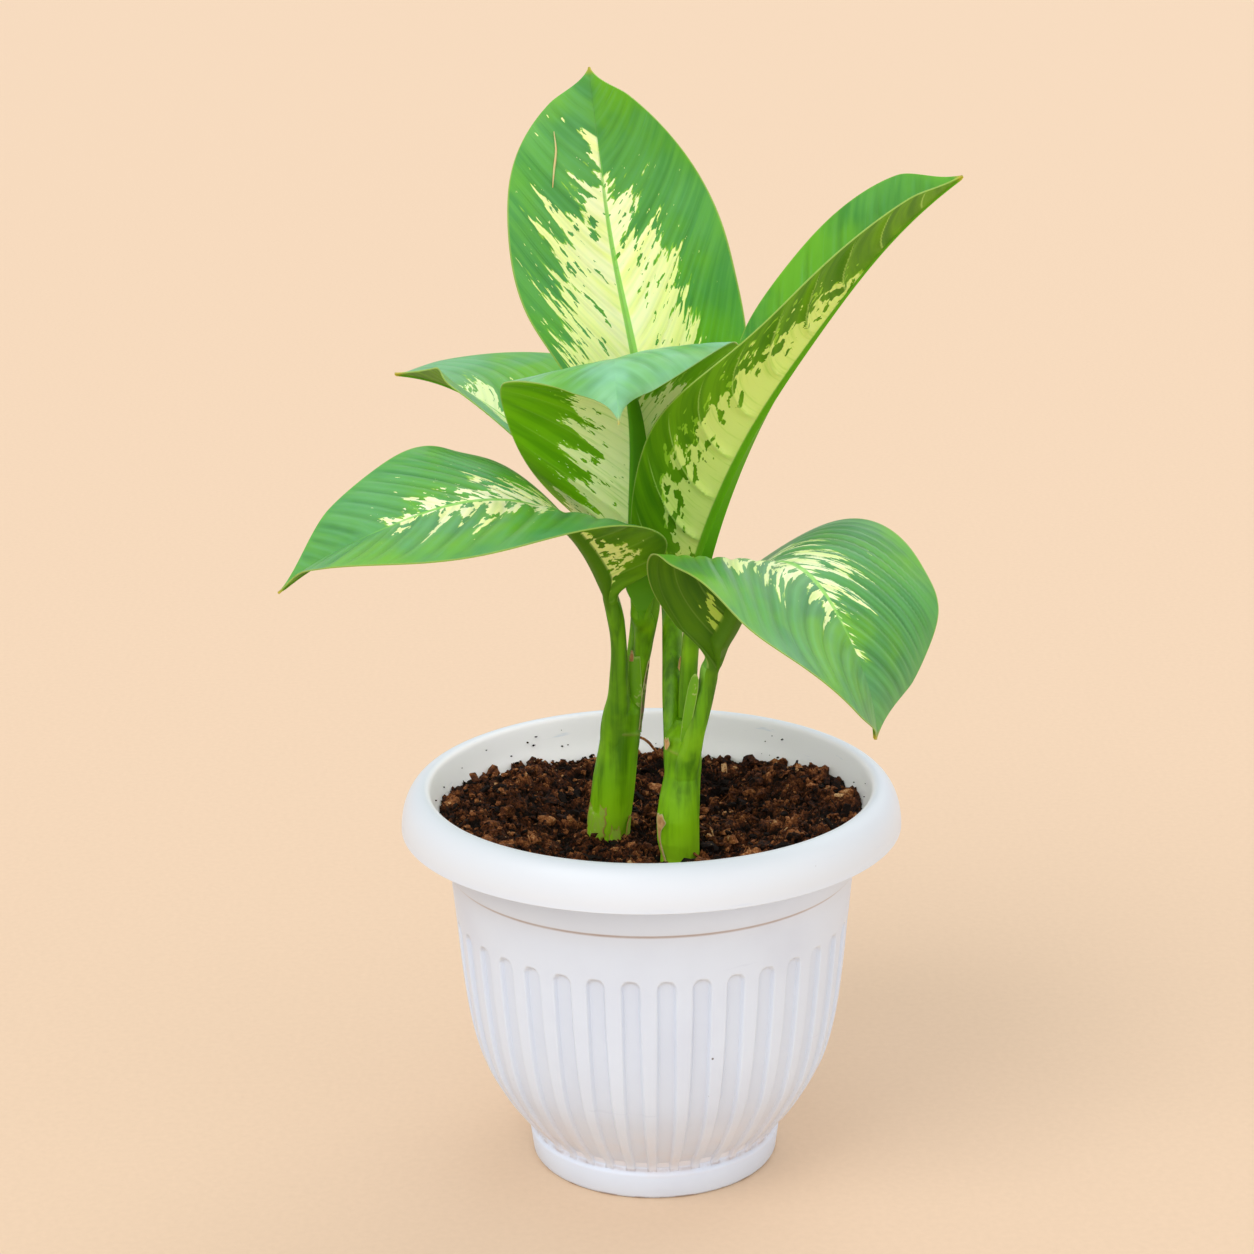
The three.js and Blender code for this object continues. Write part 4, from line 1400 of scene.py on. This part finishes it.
@dataclass
class Leaf:
    """One leaf: a stalk that rises from its cane, and a folded, curled blade with a rib.

    The angles are in degrees, as knots spread evenly from the blade's base to its tip.
    """

    name: str
    stalk: list
    base: tuple
    length: float
    half: tuple
    outline: tuple
    pitch: list
    heading: list
    roll: list
    fold: tuple
    curl: tuple
    wave: tuple
    rib_radius: float
    look: Variegation
    vein_relief: float = 0.4
    relief_start: tuple = (0.0, 0.06)
    drip: float = 19.0
    tip_share: float = 0.45
    wing: tuple[float, float] = (0.0, 0.0)
    rib_start: float = -0.25
    keel: float = 1.5
    seat: float = 1.0
    thickness: float = 1.0
    edge_thickness: float = 0.6
    blade_rows: int = 200
    stalk_rows: int = 64
    rib_columns: int = 8
    blade_columns: int = 36
    finish: LeafFinish = LeafFinish()

    def frames(self, s: np.ndarray) -> tuple[np.ndarray, np.ndarray, np.ndarray]:
        """The directions along the rib, up out of the blade, and across it to the right."""
        pitch, heading, roll = (np.radians(track(k, s)) for k in (self.pitch, self.heading, self.roll))
        along = np.stack([np.cos(pitch) * np.cos(heading), np.cos(pitch) * np.sin(heading),
                          np.sin(pitch)], 1)
        level = np.stack([np.sin(heading), -np.cos(heading), 0 * heading], 1)
        up = np.cross(level, along)
        turn, lean = np.cos(roll)[:, None], np.sin(roll)[:, None]
        return along, up * turn + level * lean, level * turn - up * lean

    def rib_line(self, s: np.ndarray) -> np.ndarray:
        """The rib's points at shares of its length."""
        walk = 480
        along, _, _ = self.frames((np.arange(walk) + 0.5) / walk)
        trail = np.array(self.base) + np.concatenate(
            [np.zeros((1, 3)), np.cumsum(along, axis=0) * self.length / walk])
        return np.stack([np.interp(s * walk, np.arange(walk + 1), trail[:, k]) for k in range(3)], 1)

    def half_width(self, s: np.ndarray, side: int) -> np.ndarray:
        """The blade's half width on one side, at shares of its length."""
        towards_base, towards_tip = self.outline
        widest = towards_base / (towards_base + towards_tip)
        swell = (s / widest) ** towards_base * ((1 - s) / (1 - widest)) ** towards_tip
        closing = np.tanh((1 - s) / 0.05) ** 0.45
        taper = mix(self.tip_share, 1.0, smooth((1 - s) * self.length, 1.5, self.drip))
        wing = self.wing[side] * (1 - smooth(s, 0.02, 0.2))
        return np.hypot(np.maximum(0.3, self.half[side] * swell * closing * taper), wing)

    def vein(self, s: np.ndarray, distance: np.ndarray, side: int) -> np.ndarray:
        """The place on the rib where the side vein through each point starts.

        Args:
            s: shares of the blade's length, one for each row.
            distance: how far out from the rib the points of each row are.
            side: 0 for the left and 1 for the right.

        Returns:
            Millimetres along the rib.
        """
        lean, curve = self.look.lean[side], self.look.curve[side]
        return s[:, None] * self.length - distance * (lean + curve * distance)

    def rib_reach(self, s: np.ndarray) -> np.ndarray:
        """The rib's radius at shares of the blade's length."""
        return mix(self.rib_radius, 0.45, smooth(s, self.rib_start, 0.95))

    def side_points(self, s: np.ndarray, side: int) -> dict[str, np.ndarray]:
        """The points on one side of the blade.

        Args:
            s: shares of its length.
            side: 0 for the left and 1 for the right.

        Returns:
            Rows of points out from the rib: their places, normals and distances.
        """
        sign = 2 * side - 1
        _, up, right = self.frames(s)
        width = self.half_width(s, side)[:, None]
        rib = np.minimum(self.rib_reach(s)[:, None], 0.5 * width)
        near = np.linspace(0, 1, self.rib_columns + 1)[None]
        near_reach = np.minimum(2.2 * rib, 0.5 * width)
        far = np.linspace(0, 1, self.blade_columns + 1)[None, 1:] ** 0.94
        distance = np.concatenate([near * near_reach, near_reach + far * (width - near_reach)], 1)
        t = distance / width
        fold = np.radians(track(self.fold[side], s))[:, None]
        curl = np.radians(track(self.curl[side], s))[:, None]
        curl = np.where(np.abs(curl) < 1e-4, 1e-4, curl)
        slope = fold + curl * t
        across = width * (np.sin(slope) - np.sin(fold)) / curl
        size, count = self.wave
        ripple = size * t**2 * np.sin(2 * np.pi * count * s + side * 1.7)[:, None]
        rise = width * (np.cos(fold) - np.cos(slope)) / curl + ripple * np.sin(np.pi * s)[:, None]
        place = self.rib_line(s)[:, None] + sign * across[..., None] * right[:, None]
        place = place + rise[..., None] * up[:, None]
        normal = np.cos(slope)[..., None] * up[:, None] - sign * np.sin(slope)[..., None] * right[:, None]
        vein = self.vein(s, distance, side)
        return {"place": place, "normal": normal, "distance": distance, "t": t, "rib": rib,
                "vein": vein}

    def relief(self, s: np.ndarray, points: dict[str, np.ndarray]) -> tuple[np.ndarray, np.ndarray]:
        """How far the upper and the lower face stand off the middle of the blade.

        Args:
            s: shares of the blade's length.
            points: one side's points.

        Returns:
            The heights of the upper face and the depths of the lower face.
        """
        distance, t = points["distance"], points["t"]
        phase = (points["vein"] - self.look.vein_phase) / self.look.vein_gap
        off = np.abs(phase - np.round(phase)) * 2
        strength = self.vein_relief * smooth(t, 0.02, 0.2) * (1 - smooth(t, 0.7, 1.0))
        strength = strength * smooth(s, *self.relief_start)[:, None]
        strength = strength * (1 - smooth(s, 0.75, 0.97))[:, None]
        off_vein = off * self.look.vein_gap / 2
        quilt = 0.5 - np.exp(-((off_vein / 2.5) ** 2))
        ridge = np.exp(-((off_vein / 0.9) ** 2))
        half = mix(self.thickness, self.edge_thickness, t) / 2
        rib = points["rib"]
        share = np.clip(distance / rib, 0, 1)
        keel = np.sqrt(1 - share**2) * rib * self.keel
        crown = np.cos(np.pi / 2 * np.clip(distance / (rib * 1.1), 0, 1)) ** 2 * rib * 0.12
        groove = np.exp(-((distance / (rib * 0.4)) ** 2)) * rib * 0.08
        upper = half + strength * quilt + crown - groove
        lower = half - strength * quilt + strength * 0.9 * ridge + keel
        return upper, lower

    def blade_rings(self, s: np.ndarray) -> tuple[np.ndarray, dict[str, np.ndarray]]:
        """Rings round the blade: the upper face from left to right, then the lower face back."""
        faces = {"upper": [], "lower": []}
        marks = {"across": [], "share": [], "vein": []}
        for side in (0, 1):
            points = self.side_points(s, side)
            upper, lower = self.relief(s, points)
            high = points["place"] + points["normal"] * upper[..., None]
            low = points["place"] - points["normal"] * lower[..., None]
            sign = 2 * side - 1
            rows = {"upper": high, "lower": low, "across": sign * points["distance"],
                    "share": sign * points["t"], "vein": points["vein"]}
            for key, row in rows.items():
                group = faces if key in faces else marks
                group[key].append(row[:, :0:-1] if side == 0 else row)
        upper, lower = (np.concatenate(faces[key], 1) for key in ("upper", "lower"))
        ring = np.concatenate([upper, lower[:, ::-1]], 1)
        both = {}
        for key, rows in marks.items():
            row = np.concatenate(rows, 1)
            both[key] = np.concatenate([row, row[:, ::-1]], 1)
        both["under"] = np.concatenate([np.zeros(upper.shape[:2]), np.ones(lower.shape[:2])], 1)
        both["along"] = np.broadcast_to((s * self.length)[:, None], both["under"].shape)
        both["reach"] = both["vein"] / self.length
        both["rib"] = np.broadcast_to(self.rib_reach(s)[:, None], both["under"].shape)
        return ring, both

    def round_rings(self, centre: np.ndarray, up: np.ndarray, right: np.ndarray,
                    radius: np.ndarray, columns: int) -> np.ndarray:
        """Round rings with as many points as the blade's rings, and in the same order."""
        half = columns // 2
        upper = np.radians(np.linspace(172, 8, half))
        angle = np.concatenate([upper, -upper[::-1]])
        return (centre[:, None] + (radius[:, None] * np.cos(angle))[..., None] * right[:, None]
                + (radius[:, None] * np.sin(angle))[..., None] * up[:, None])

    def stalk_rings(self, columns: int) -> tuple[np.ndarray, np.ndarray]:
        """Rings up the stalk, and the distance of each to the blade's base."""
        along, up, right = self.frames(np.array([0.0]))
        end = np.array(self.base) - up[0] * self.rib_radius * self.seat
        path = flowing([*self.stalk, (*end, self.rib_radius)], self.stalk_rows + 1, along[0])
        heading = unit(np.gradient(path[:, :3], axis=0))[:-1]
        steps = np.linalg.norm(np.diff(path[:, :3], axis=0), axis=1)
        before = np.cumsum(steps) - steps - steps.sum()
        path = path[:-1]
        side = unit(right[0] - heading * (heading @ right[0])[:, None])
        rings = self.round_rings(path[:, :3], np.cross(side, heading), side, path[:, 3], columns)
        return rings, before

    def build(self) -> bpy.types.Object:
        """Makes the leaf."""
        s = np.linspace(0, 1, self.blade_rows + 1) ** 1.15
        s = np.minimum(s, 0.9997)
        blade, marks = self.blade_rings(s)
        columns = blade.shape[1]
        along, up, right = self.frames(s)
        centre = self.rib_line(s) - up * self.rib_radius * self.seat
        start = self.round_rings(centre, up, right, np.full(len(s), self.rib_radius), columns)
        spread = smooth(s, -0.005, 0.075)[:, None, None]
        blade = mix(start, blade, spread)
        stalk, before = self.stalk_rings(columns)
        rows = len(before)
        extra = {key: np.zeros((rows, columns)) for key in marks}
        extra["along"] = np.broadcast_to(before[:, None], (rows, columns))
        extra["vein"] = extra["along"]
        extra["under"] = np.broadcast_to(marks["under"][:1], (rows, columns))
        extra["rib"] = np.full((rows, columns), self.rib_radius)
        marks = {key: np.concatenate([extra[key], marks[key]]) for key in marks}
        rings = np.concatenate([stalk, blade])
        leaf = sheet_of_points(f"{self.name}_blade", rings, True, marks)
        return settle(leaf, Slot.LEAF, self.finish.material(self), self.name, smooth_angle=60)


@dataclass
class Straw:
    """A dry straw that clings to a leaf.

    line holds its places on the leaf, as (share of the rib's length, millimetres out) pairs.
    """

    leaf: Leaf
    line: tuple
    side: int = 0
    radius: float = 0.5
    rows: int = 30

    def build(self) -> bpy.types.Object:
        """Makes the straw."""
        s, out = path_through(list(self.line), self.rows).T
        points = self.leaf.side_points(s, self.side)
        lift = self.leaf.thickness / 2 + 0.7 * self.radius
        places = points["place"] + points["normal"] * lift
        path = np.array([[np.interp(far, reach, row[:, k]) for k in range(3)]
                         for far, reach, row in zip(out, points["distance"], places)])
        straw = sheet_of_points("straw", thin_rings(path, self.radius, 8), True)
        return settle(straw, Slot.LEAF, SheathFinish().material(Age.STRAW))


# ---------------------------------------------------------------- stage


@dataclass
class Studio:
    """A pale floor, soft light and a camera at the photo's angle."""

    image: float = 1254.0
    focal_pixels: float = 2988.0
    aim: tuple = (-9.6, 0.0, 246.3)
    distance: float = 1294.0
    pitch: float = 16.94
    roll: float = -0.76
    sensor: float = 36.0
    floor_size: float = 60.0

    def camera(self) -> None:
        """Adds the camera."""
        data = bpy.data.cameras.new("camera")
        data.sensor_width = self.sensor
        data.lens = self.focal_pixels / self.image * self.sensor
        data.clip_end = 200
        camera = bpy.data.objects.new("camera", data)
        pitch = math.radians(self.pitch)
        back = Vector((0, -math.cos(pitch), math.sin(pitch)))
        camera.location = (Vector(self.aim) + back * self.distance) * MM
        turn = Matrix.Rotation(math.radians(90 - self.pitch), 4, "X")
        camera.rotation_euler = (turn @ Matrix.Rotation(math.radians(self.roll), 4, "Z")).to_euler()
        bpy.context.scene.collection.objects.link(camera)
        bpy.context.scene.camera = camera

    def floor(self) -> None:
        """Adds the floor."""
        deselect_all()
        bpy.ops.mesh.primitive_plane_add(size=self.floor_size)
        plane = bpy.context.object
        plane.name = "floor"
        shader = Shader("pale_floor")
        grain = shader.noise(shader.place(), 300, 3)
        paint = shader.blend(grain, colour(219, 190, 160), colour(228, 199, 169))
        plane.data.materials.append(shader.finish({"Base Color": paint, "Roughness": 0.9}))

    def sun(self, name: str, place: tuple, strength: float, spread: float) -> None:
        """Adds a soft sun that shines on the plant from one side.

        Args:
            name: the sun's name.
            place: the direction that it shines from.
            strength: its strength.
            spread: how wide it looks, in degrees, which softens its shadows.
        """
        data = bpy.data.lights.new(name, "SUN")
        data.energy, data.angle = strength, math.radians(spread)
        lamp = bpy.data.objects.new(name, data)
        lamp.rotation_euler = (-Vector(place)).to_track_quat("-Z", "Y").to_euler()
        bpy.context.scene.collection.objects.link(lamp)

    def light(self) -> None:
        """Adds the suns and the pale surroundings."""
        world = bpy.data.worlds.new("surroundings")
        world.use_nodes = True
        world.node_tree.nodes["Background"].inputs[0].default_value = (0.96, 0.98, 1.0, 1)
        world.node_tree.nodes["Background"].inputs[1].default_value = 0.82
        bpy.context.scene.world = world
        bpy.context.scene.view_settings.view_transform = "Standard"
        self.sun("key", (-1.3, -1.4, 2.2), 1.0, 36)
        self.sun("front", (-0.2, -2.4, 0.3), 0.75, 60)
        self.sun("right", (2.0, -1.5, 0.6), 0.45, 60)
        self.sun("back", (0.9, 1.6, 1.6), 0.65, 50)

    def build(self) -> None:
        """Sets the whole stage."""
        self.camera()
        self.floor()
        self.light()


# ---------------------------------------------------------------- the object


def canes() -> list[Cane]:
    """The two canes: [x, y, z, radius] along each axis."""
    left = Cane("stem_left", "cane_left", [
        (-21, 2, 96, 6), (-20.5, 2, 104, 9.4), (-20, 2, 135, 9.6), (-19.4, 2, 151.8, 8.6),
        (-18.2, 2, 160, 9.5), (-16.9, 2, 171, 9.5), (-16.1, 2, 178, 9.4), (-14.6, 2, 188, 8.9),
        (-13.2, 2, 197, 8.4), (-11.4, 2, 209, 8.0), (-10.6, 2, 216, 7.6)],
        scar_height=197.5, scar_dip=2.2, scar_facing=-25)
    right = Cane("stem_right", "cane_right", [
        (10.5, -29, 96, 6), (10.7, -29, 104, 8.8), (11.4, -29, 135, 9), (12.1, -29, 152.5, 8.4),
        (11.3, -29, 159, 9.1), (11.1, -28.5, 169, 9.2), (11.9, -27.5, 178, 8.7),
        (13.2, -26, 187.5, 7.8), (13.7, -25, 196, 7.7), (14, -23.5, 206, 8.2),
        (14, -22, 212, 7.8)],
        scar_height=197.5, scar_dip=3.0, scar_facing=-80)
    return [left, right]


def sheaths() -> list[Sheath]:
    """The leaf sheaths and dry scales on the stems."""
    return [
        Sheath("sheath_tongue", [
            (13.4, -30.0, 198, 0.8), (14.2, -32.6, 207, 1.7), (15.6, -34.2, 216, 2.2),
            (17.2, -34.6, 225, 2.4), (18.3, -34.4, 231, 2.1), (18.9, -34.2, 234, 1.4),
            (19.2, -34.1, 235.4, 0.5)], facing=-22, cup=5.0, age=Age.FRESH, ragged=0.1),
        Sheath("sheath_cut", [
            (12.0, -13.6, 228, 0.3), (12.9, -12.8, 231, 1.0), (13.3, -12.0, 234, 0.9),
            (13.4, -11.4, 236, 0.4)], facing=24, cup=3.2, age=Age.DRIED, ragged=0.6),
        Sheath("sheath_flat", [
            (-6.4, 3.0, 197, 2.6), (-6.0, -0.4, 210, 2.8), (-6.4, -1.9, 222, 2.9),
            (-6.7, -2.2, 233.5, 2.6)], facing=-6, cup=4.5, age=Age.FRESH, ragged=0.2),
        Sheath("sheath_tip", [
            (-7.9, -2.5, 231.5, 0.9), (-7.7, -2.6, 234, 0.8), (-7.5, -2.5, 236.5, 0.3)],
            facing=-20, cup=3, age=Age.DRIED),
        Sheath("sheath_wing", [
            (-5.4, 2.0, 206, 0.8), (-4.4, 0.6, 216, 1.6), (-2.3, 0.0, 228, 1.6),
            (-0.4, -0.8, 238, 1.9), (1.2, -1.8, 247, 2.3), (2.4, -3.0, 256, 2.7),
            (3.0, -4.0, 264, 1.6)], facing=22, cup=6.5, age=Age.FRESH, ragged=0.1),
        Sheath("membrane", [
            (-4.6, -2.0, 200, 0.5), (-3.4, -1.4, 208, 0.9), (-2.7, -0.8, 215, 1.1),
            (-1.6, -0.6, 223, 0.8), (-0.2, -0.8, 231, 0.4)],
            facing=46, cup=3.0, age=Age.PURPLE, ragged=0.8),
        Sheath("scale_small", [
            (6.4, -30.4, 200.5, 0.4), (6.8, -31.4, 203.5, 1.3), (6.5, -31.7, 206, 1.1)],
            facing=-38, cup=5, age=Age.DRIED, ragged=0.8),
        Sheath("scale_right", [
            (5.6, -35.6, 151.5, 0.5), (4.6, -34.9, 155, 0.5), (3.4, -34.0, 160, 0.5),
            (3.2, -33.9, 165, 1.2), (3.6, -34.3, 169, 2.8), (3.4, -34.0, 172.5, 1.6)],
            facing=-52, cup=8, age=Age.DRIED, ragged=1.0),
        Sheath("collar_left", [
            (-26.0, -4.2, 149, 4.6), (-25.6, -4.4, 154, 5.4), (-25.0, -4.6, 160, 6.2),
            (-24.2, -4.5, 165, 5.0)], facing=-44, cup=9.9, age=Age.TORN, ragged=1.9),
        Sheath("collar_front", [
            (-16.6, -7.9, 148, 2.4), (-16.2, -7.9, 151, 2.8), (-15.7, -7.8, 156, 1.8)],
            facing=14, cup=9.8, age=Age.TORN, ragged=1.8),
        Sheath("collar_right", [
            (-10.4, -3.2, 150, 1.2), (-10.0, -3.2, 155, 1.5), (-9.3, -2.8, 160, 0.8)],
            facing=60, cup=9.6, age=Age.TORN, ragged=1.0),
    ]


def leaves() -> list[Leaf]:
    """The six leaves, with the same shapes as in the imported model."""
    top = Leaf(
        "leaf_top", [(9.6, -24, 178, 2.4), (8.6, -23, 192, 3.1), (8.3, -21.4, 202, 2.8),
                     (9.3, -15.5, 219, 4.1), (9.9, -5, 238, 4.4), (9.7, 6, 255, 4.4)],
        base=(5, 20, 276), length=209, half=(54, 55), outline=(0.81, 0.72),
        pitch=[77, 81, 76, 83, 81], heading=[129, 132, 142, 154, 130], roll=[-9, -24, -54, -66],
        fold=([43, 32, 8], [32, 34, 17]), curl=([8, 4, -7], [-1, 6, 2]), wave=(1.2, 3.1),
        rib_radius=3.4, vein_relief=0.5, drip=13, tip_share=0.55,
        look=Variegation(
            left=((0, 0.85), (0.15, 0.86), (0.23, 0.6), (0.3, 0.74), (0.35, 0.55), (0.4, 0.62),
                  (0.44, 0.42), (0.49, 0.66), (0.54, 0.38), (0.59, 0.57), (0.64, 0.2), (0.7, 0.22),
                  (0.73, 0.24), (0.76, 0.05), (0.8, 0.09), (0.84, 0.08), (0.86, 0)),
            right=((0, 0.3), (0.25, 0.55), (0.33, 0.53), (0.37, 0.42), (0.42, 0.57), (0.47, 0.42),
                   (0.51, 0.38), (0.56, 0.44), (0.6, 0.22), (0.62, 0.12), (0.68, 0.33), (0.71, 0.1),
                   (0.745, 0.08), (0.78, 0)),
            seed=1.7, cool_tint_and_sheen=0.3, rib_width=1.45, rib_end=0.78, coarse=1.3))
    nodding = Leaf(
        "leaf_nodding", [(-10.5, 3.2, 184, 3.6), (-9.2, 3.2, 200, 4.6), (-7.6, 3, 207, 4.1),
                         (-5.9, 2.8, 216, 3.5), (-4.0, 2.3, 228, 3.5), (-2.6, 1.2, 238, 4.1),
                         (-2.0, -0.8, 247, 4.6)],
        base=(-3.5, -1.5, 256.5), length=188, half=(52, 57), outline=(0.81, 0.98),
        pitch=[62, 83, 83, 40, 4, -79], heading=[-84, -108, -99, -81], roll=[-6, 33, 19, 1],
        fold=([60, 26, -10], [59, 24, -12]), curl=([-8, -33, -53], [25, 5, -23]), wave=(0, 2),
        rib_radius=4.6, wing=(9.0, 9.0), rib_start=-0.05, keel=1.7,
        look=Variegation(
            left=((0, 0.0), (0.03, 0.0), (0.08, 0.5), (0.2, 0.62), (0.37, 0.62), (0.44, 0.38),
                  (0.48, 0.12), (0.52, 0)),
            right=((0, 0.0), (0.03, 0.0), (0.06, 0.65), (0.122, 0.7), (0.155, 0.3), (0.185, 0.7),
                   (0.215, 0.42), (0.245, 0.38), (0.271, 0.6), (0.318, 0.2), (0.356, 0.58),
                   (0.381, 0.34), (0.441, 0.5), (0.5, 0.3), (0.55, 0)),
            seed=4.2, cool_tint_and_sheen=0.9, lean=(0.6, 0.65), curve=(0.0, 0.0), fill=0.6, rib_end=0.3,
            ragged=1.1, coarse=0.8, lace=14),
        # Painted light: the underside colours are raised to stand in for light shining through the leaf
        # onto its shaded inner face, and the flap's cool tint is paler to paint the sky's sheen.
        finish=LeafFinish(
            upper=colour(108, 178, 88), upper_tint_and_sheen=colour(148, 208, 172),
            under=colour(128, 188, 6), under_deep=colour(98, 158, 0),
            cream_under=colour(242, 255, 188), rib_under=colour(84, 148, 0)))
    folded = Leaf(
        "leaf_folded", [(14.6, -22.5, 180, 3), (15, -21, 194, 3.4), (15.4, -20, 207, 3.7),
                        (15.9, -19.4, 220, 3.9), (17.0, -19.5, 238, 3.7), (18.2, -19.8, 252, 3.6)],
        base=(17, -18, 260.5), length=229, half=(31, 40), outline=(0.33, 0.44),
        pitch=[74, 62, 57, 52, 37], heading=[-49, -47, -11, -4], roll=[-3, 6, 13, 27],
        fold=([42, 53, 50], [52, 42, 50]), curl=([-5, 2, 0], [1, -5, -1]), wave=(0.8, 2.6),
        rib_radius=3.4, vein_relief=1.1,
        look=Variegation(
            left=((0, 0.4), (0.15, 0.4), (0.4, 0.3), (0.55, 0.05), (0.6, 0)),
            right=((0.04, 0.1), (0.08, 0.22), (0.136, 0.56), (0.205, 0.61), (0.28, 0.55), (0.34, 0.62),
                   (0.386, 0.63), (0.438, 0.57), (0.463, 0.72), (0.556, 0.51), (0.608, 0.52),
                   (0.656, 0.38), (0.73, 0.18), (0.77, 0)),
            seed=7.9, cool_tint_and_sheen=0.1, lean=(0.5, 0.0), curve=(0.02, 0.026), islands=1.2, fill=0.5,
            stretch=0.9, coarse=2.4, hole_zone=15, vein_gap=22, vein_phase=11, lace=26,
            pale_veins=0.5),
        finish=LeafFinish(cream_under=colour(212, 234, 130)))
    low_left = Leaf(
        "leaf_low_left", [(-15, 2, 180, 5), (-14.2, 1.8, 190, 7.6), (-13.8, 1.4, 197, 8.25),
                          (-14.1, 0.4, 202, 7.6), (-14.3, -1.1, 207, 6.4), (-13.7, -2.6, 214, 5.1),
                          (-13.4, -3.8, 226, 4.0), (-13.2, -4.3, 237, 3.5), (-13.6, -5.0, 245, 3.5),
                          (-14.5, -6.4, 252.5, 3.7)],
        base=(-15.7, -7, 261.5), length=191, half=(58, 56), outline=(0.87, 1.11),
        pitch=[61, 48, 17, -16, -28, -41], heading=[242, 216, 179, 162], roll=[-9, -8, -19, -12],
        fold=([29, 14, 27], [37, 2, 33]), curl=([-2, -9, -4], [4, -9, 9]), wave=(0.8, 3.2),
        rib_radius=3.5, vein_relief=1.3, relief_start=(0.18, 0.36), drip=32, wing=(6.0, 0.0),
        rib_start=-0.05, keel=1.0, seat=0.3,
        look=Variegation(
            left=((0, 0.0), (0.06, 0.1), (0.1, 0.42), (0.15, 0.36), (0.2, 0.12), (0.32, 0.3), (0.364, 0.61),
                  (0.377, 0.35), (0.395, 0.1), (0.41, 0.47), (0.43, 0.3), (0.455, 0.69), (0.48, 0.15),
                  (0.505, 0.43), (0.53, 0.15), (0.55, 0.61), (0.58, 0.02), (0.6, 0.15), (0.625, 0.02),
                  (0.645, 0.28), (0.67, 0)),
            right=((0.02, 0.4), (0.06, 0.61), (0.23, 0.4), (0.375, 0.43), (0.42, 0.2), (0.49, 0.3),
                   (0.53, 0.12), (0.58, 0.33), (0.6, 0.1), (0.63, 0.06), (0.684, 0.1), (0.7, 0)),
            seed=11.3, cool_tint_and_sheen=0.45, lean=(0.3, 0.8), curve=(0.004, 0.014), ragged=0.8, fill=0.52,
            shift=-2.0, vein_gap=12, groove_shade_and_highlight=0.2, begin=(0.0, 0.05), islands=1.5),
        finish=LeafFinish(rib_under=colour(80, 128, 2)))
    low_right = Leaf(
        "leaf_low_right", [(12, -27, 172, 4.6), (13, -27, 184, 6.5), (14.4, -28, 191, 6.3),
                           (16, -30, 197, 5.3), (17.6, -31.4, 203, 4.5), (18.6, -31.8, 208, 4.3),
                           (20.1, -31.6, 214, 4.3), (22.5, -31.2, 223.5, 4.2), (24.5, -30.7, 231.5, 3.9)],
        base=(23, -29.5, 240), length=163, half=(63, 62), outline=(0.75, 0.58),
        pitch=[54, 63, 15, -33, -57, -88], heading=[-15, -51, -56, -39], roll=[-13, 2, -9, -27],
        fold=([49, 4, 13], [45, 12, 14]), curl=([4, -14, -3], [8, -6, -2]), wave=(1.6, 3.4),
        rib_radius=4.0, vein_relief=1.0, relief_start=(0.18, 0.36), drip=16, wing=(2.0, 6.0),
        rib_start=-0.05,
        look=Variegation(
            left=((0.05, 0.36), (0.13, 0.46), (0.29, 0.34), (0.393, 0.47), (0.439, 0.3), (0.466, 0.39),
                  (0.483, 0.07), (0.548, 0.34), (0.584, 0.06), (0.622, 0.1), (0.72, 0.03), (0.742, 0.06),
                  (0.785, 0.08), (0.8, 0)),
            right=((0.0, 0.0), (0.05, 0.1), (0.1, 0.3), (0.228, 0.3), (0.288, 0.66), (0.336, 0.61),
                   (0.416, 0.41), (0.485, 0.51), (0.5, 0.35), (0.529, 0.2), (0.544, 0.06),
                   (0.585, 0.26), (0.62, 0.05), (0.657, 0.33), (0.68, 0)),
            seed=15.1, cool_tint_and_sheen=0.35, vein_gap=12.0, lean=(0.8, 0.4), islands=1.6, ragged=1.1, fill=0.49,
            hole_zone=60, stretch=2.0, shift=-2.5, groove_shade_and_highlight=0.18, begin=(0.0, 0.05)),
        finish=LeafFinish(upper=colour(80, 152, 52), upper_deep=colour(46, 118, 38),
                          cream=colour(240, 252, 196), cream_yellow=colour(222, 242, 150),
                          under=colour(84, 132, 2), under_deep=colour(58, 104, 0),
                          cream_under=colour(190, 216, 90), rib_under=colour(80, 128, 2)))
    back = Leaf(
        "leaf_back", [(-14, 5, 182, 4.4), (-12.4, 7.6, 198, 4.0), (-10.4, 9.2, 212, 3.4),
                      (-6.6, 13, 232, 3.0), (-5.0, 18, 252, 2.9)],
        base=(-7, 25, 272.5), length=141, half=(51, 52), outline=(0.88, 0.49),
        pitch=[57, 39, 31, 24, 9], heading=[152, 149, 149, 202], roll=[-16, -12, 3, 10],
        fold=([49, 31, 8], [54, 34, 2]), curl=([6, 2, -4], [10, 3, -9]), wave=(1, 2.4),
        rib_radius=2.9,
        look=Variegation(
            left=((0, 0.3), (0.2, 0.45), (0.45, 0.4), (0.6, 0.3), (0.7, 0.12), (0.79, 0)),
            right=((0, 0.2), (0.3, 0.3), (0.5, 0.25), (0.62, 0.14), (0.66, 0.34), (0.72, 0.2),
                   (0.79, 0.06), (0.81, 0)),
            seed=21.4, cool_tint_and_sheen=0.8, shift=-3.0),
        finish=LeafFinish(cream=colour(228, 244, 186), cream_yellow=colour(216, 238, 150)))
    return [top, nodding, folded, low_left, low_right, back]


def main() -> None:
    """Builds the pot, the soil, the canes and the leaves, and sets the stage."""
    logging.basicConfig(level=logging.INFO, format="%(message)s")
    Studio().build()
    pot = Pot()
    pot.build()
    Soil(pot, canes=[(-19, 2, 9.5), (11.5, -29, 9)]).build()
    foliage = leaves()
    straw = Straw(foliage[0], ((0.88, 18.1), (0.842, 18.6), (0.805, 21.1), (0.772, 23.4)))
    for piece in [*canes(), *sheaths(), *foliage, straw]:
        piece.build()


if __name__ == "__main__":
    main()
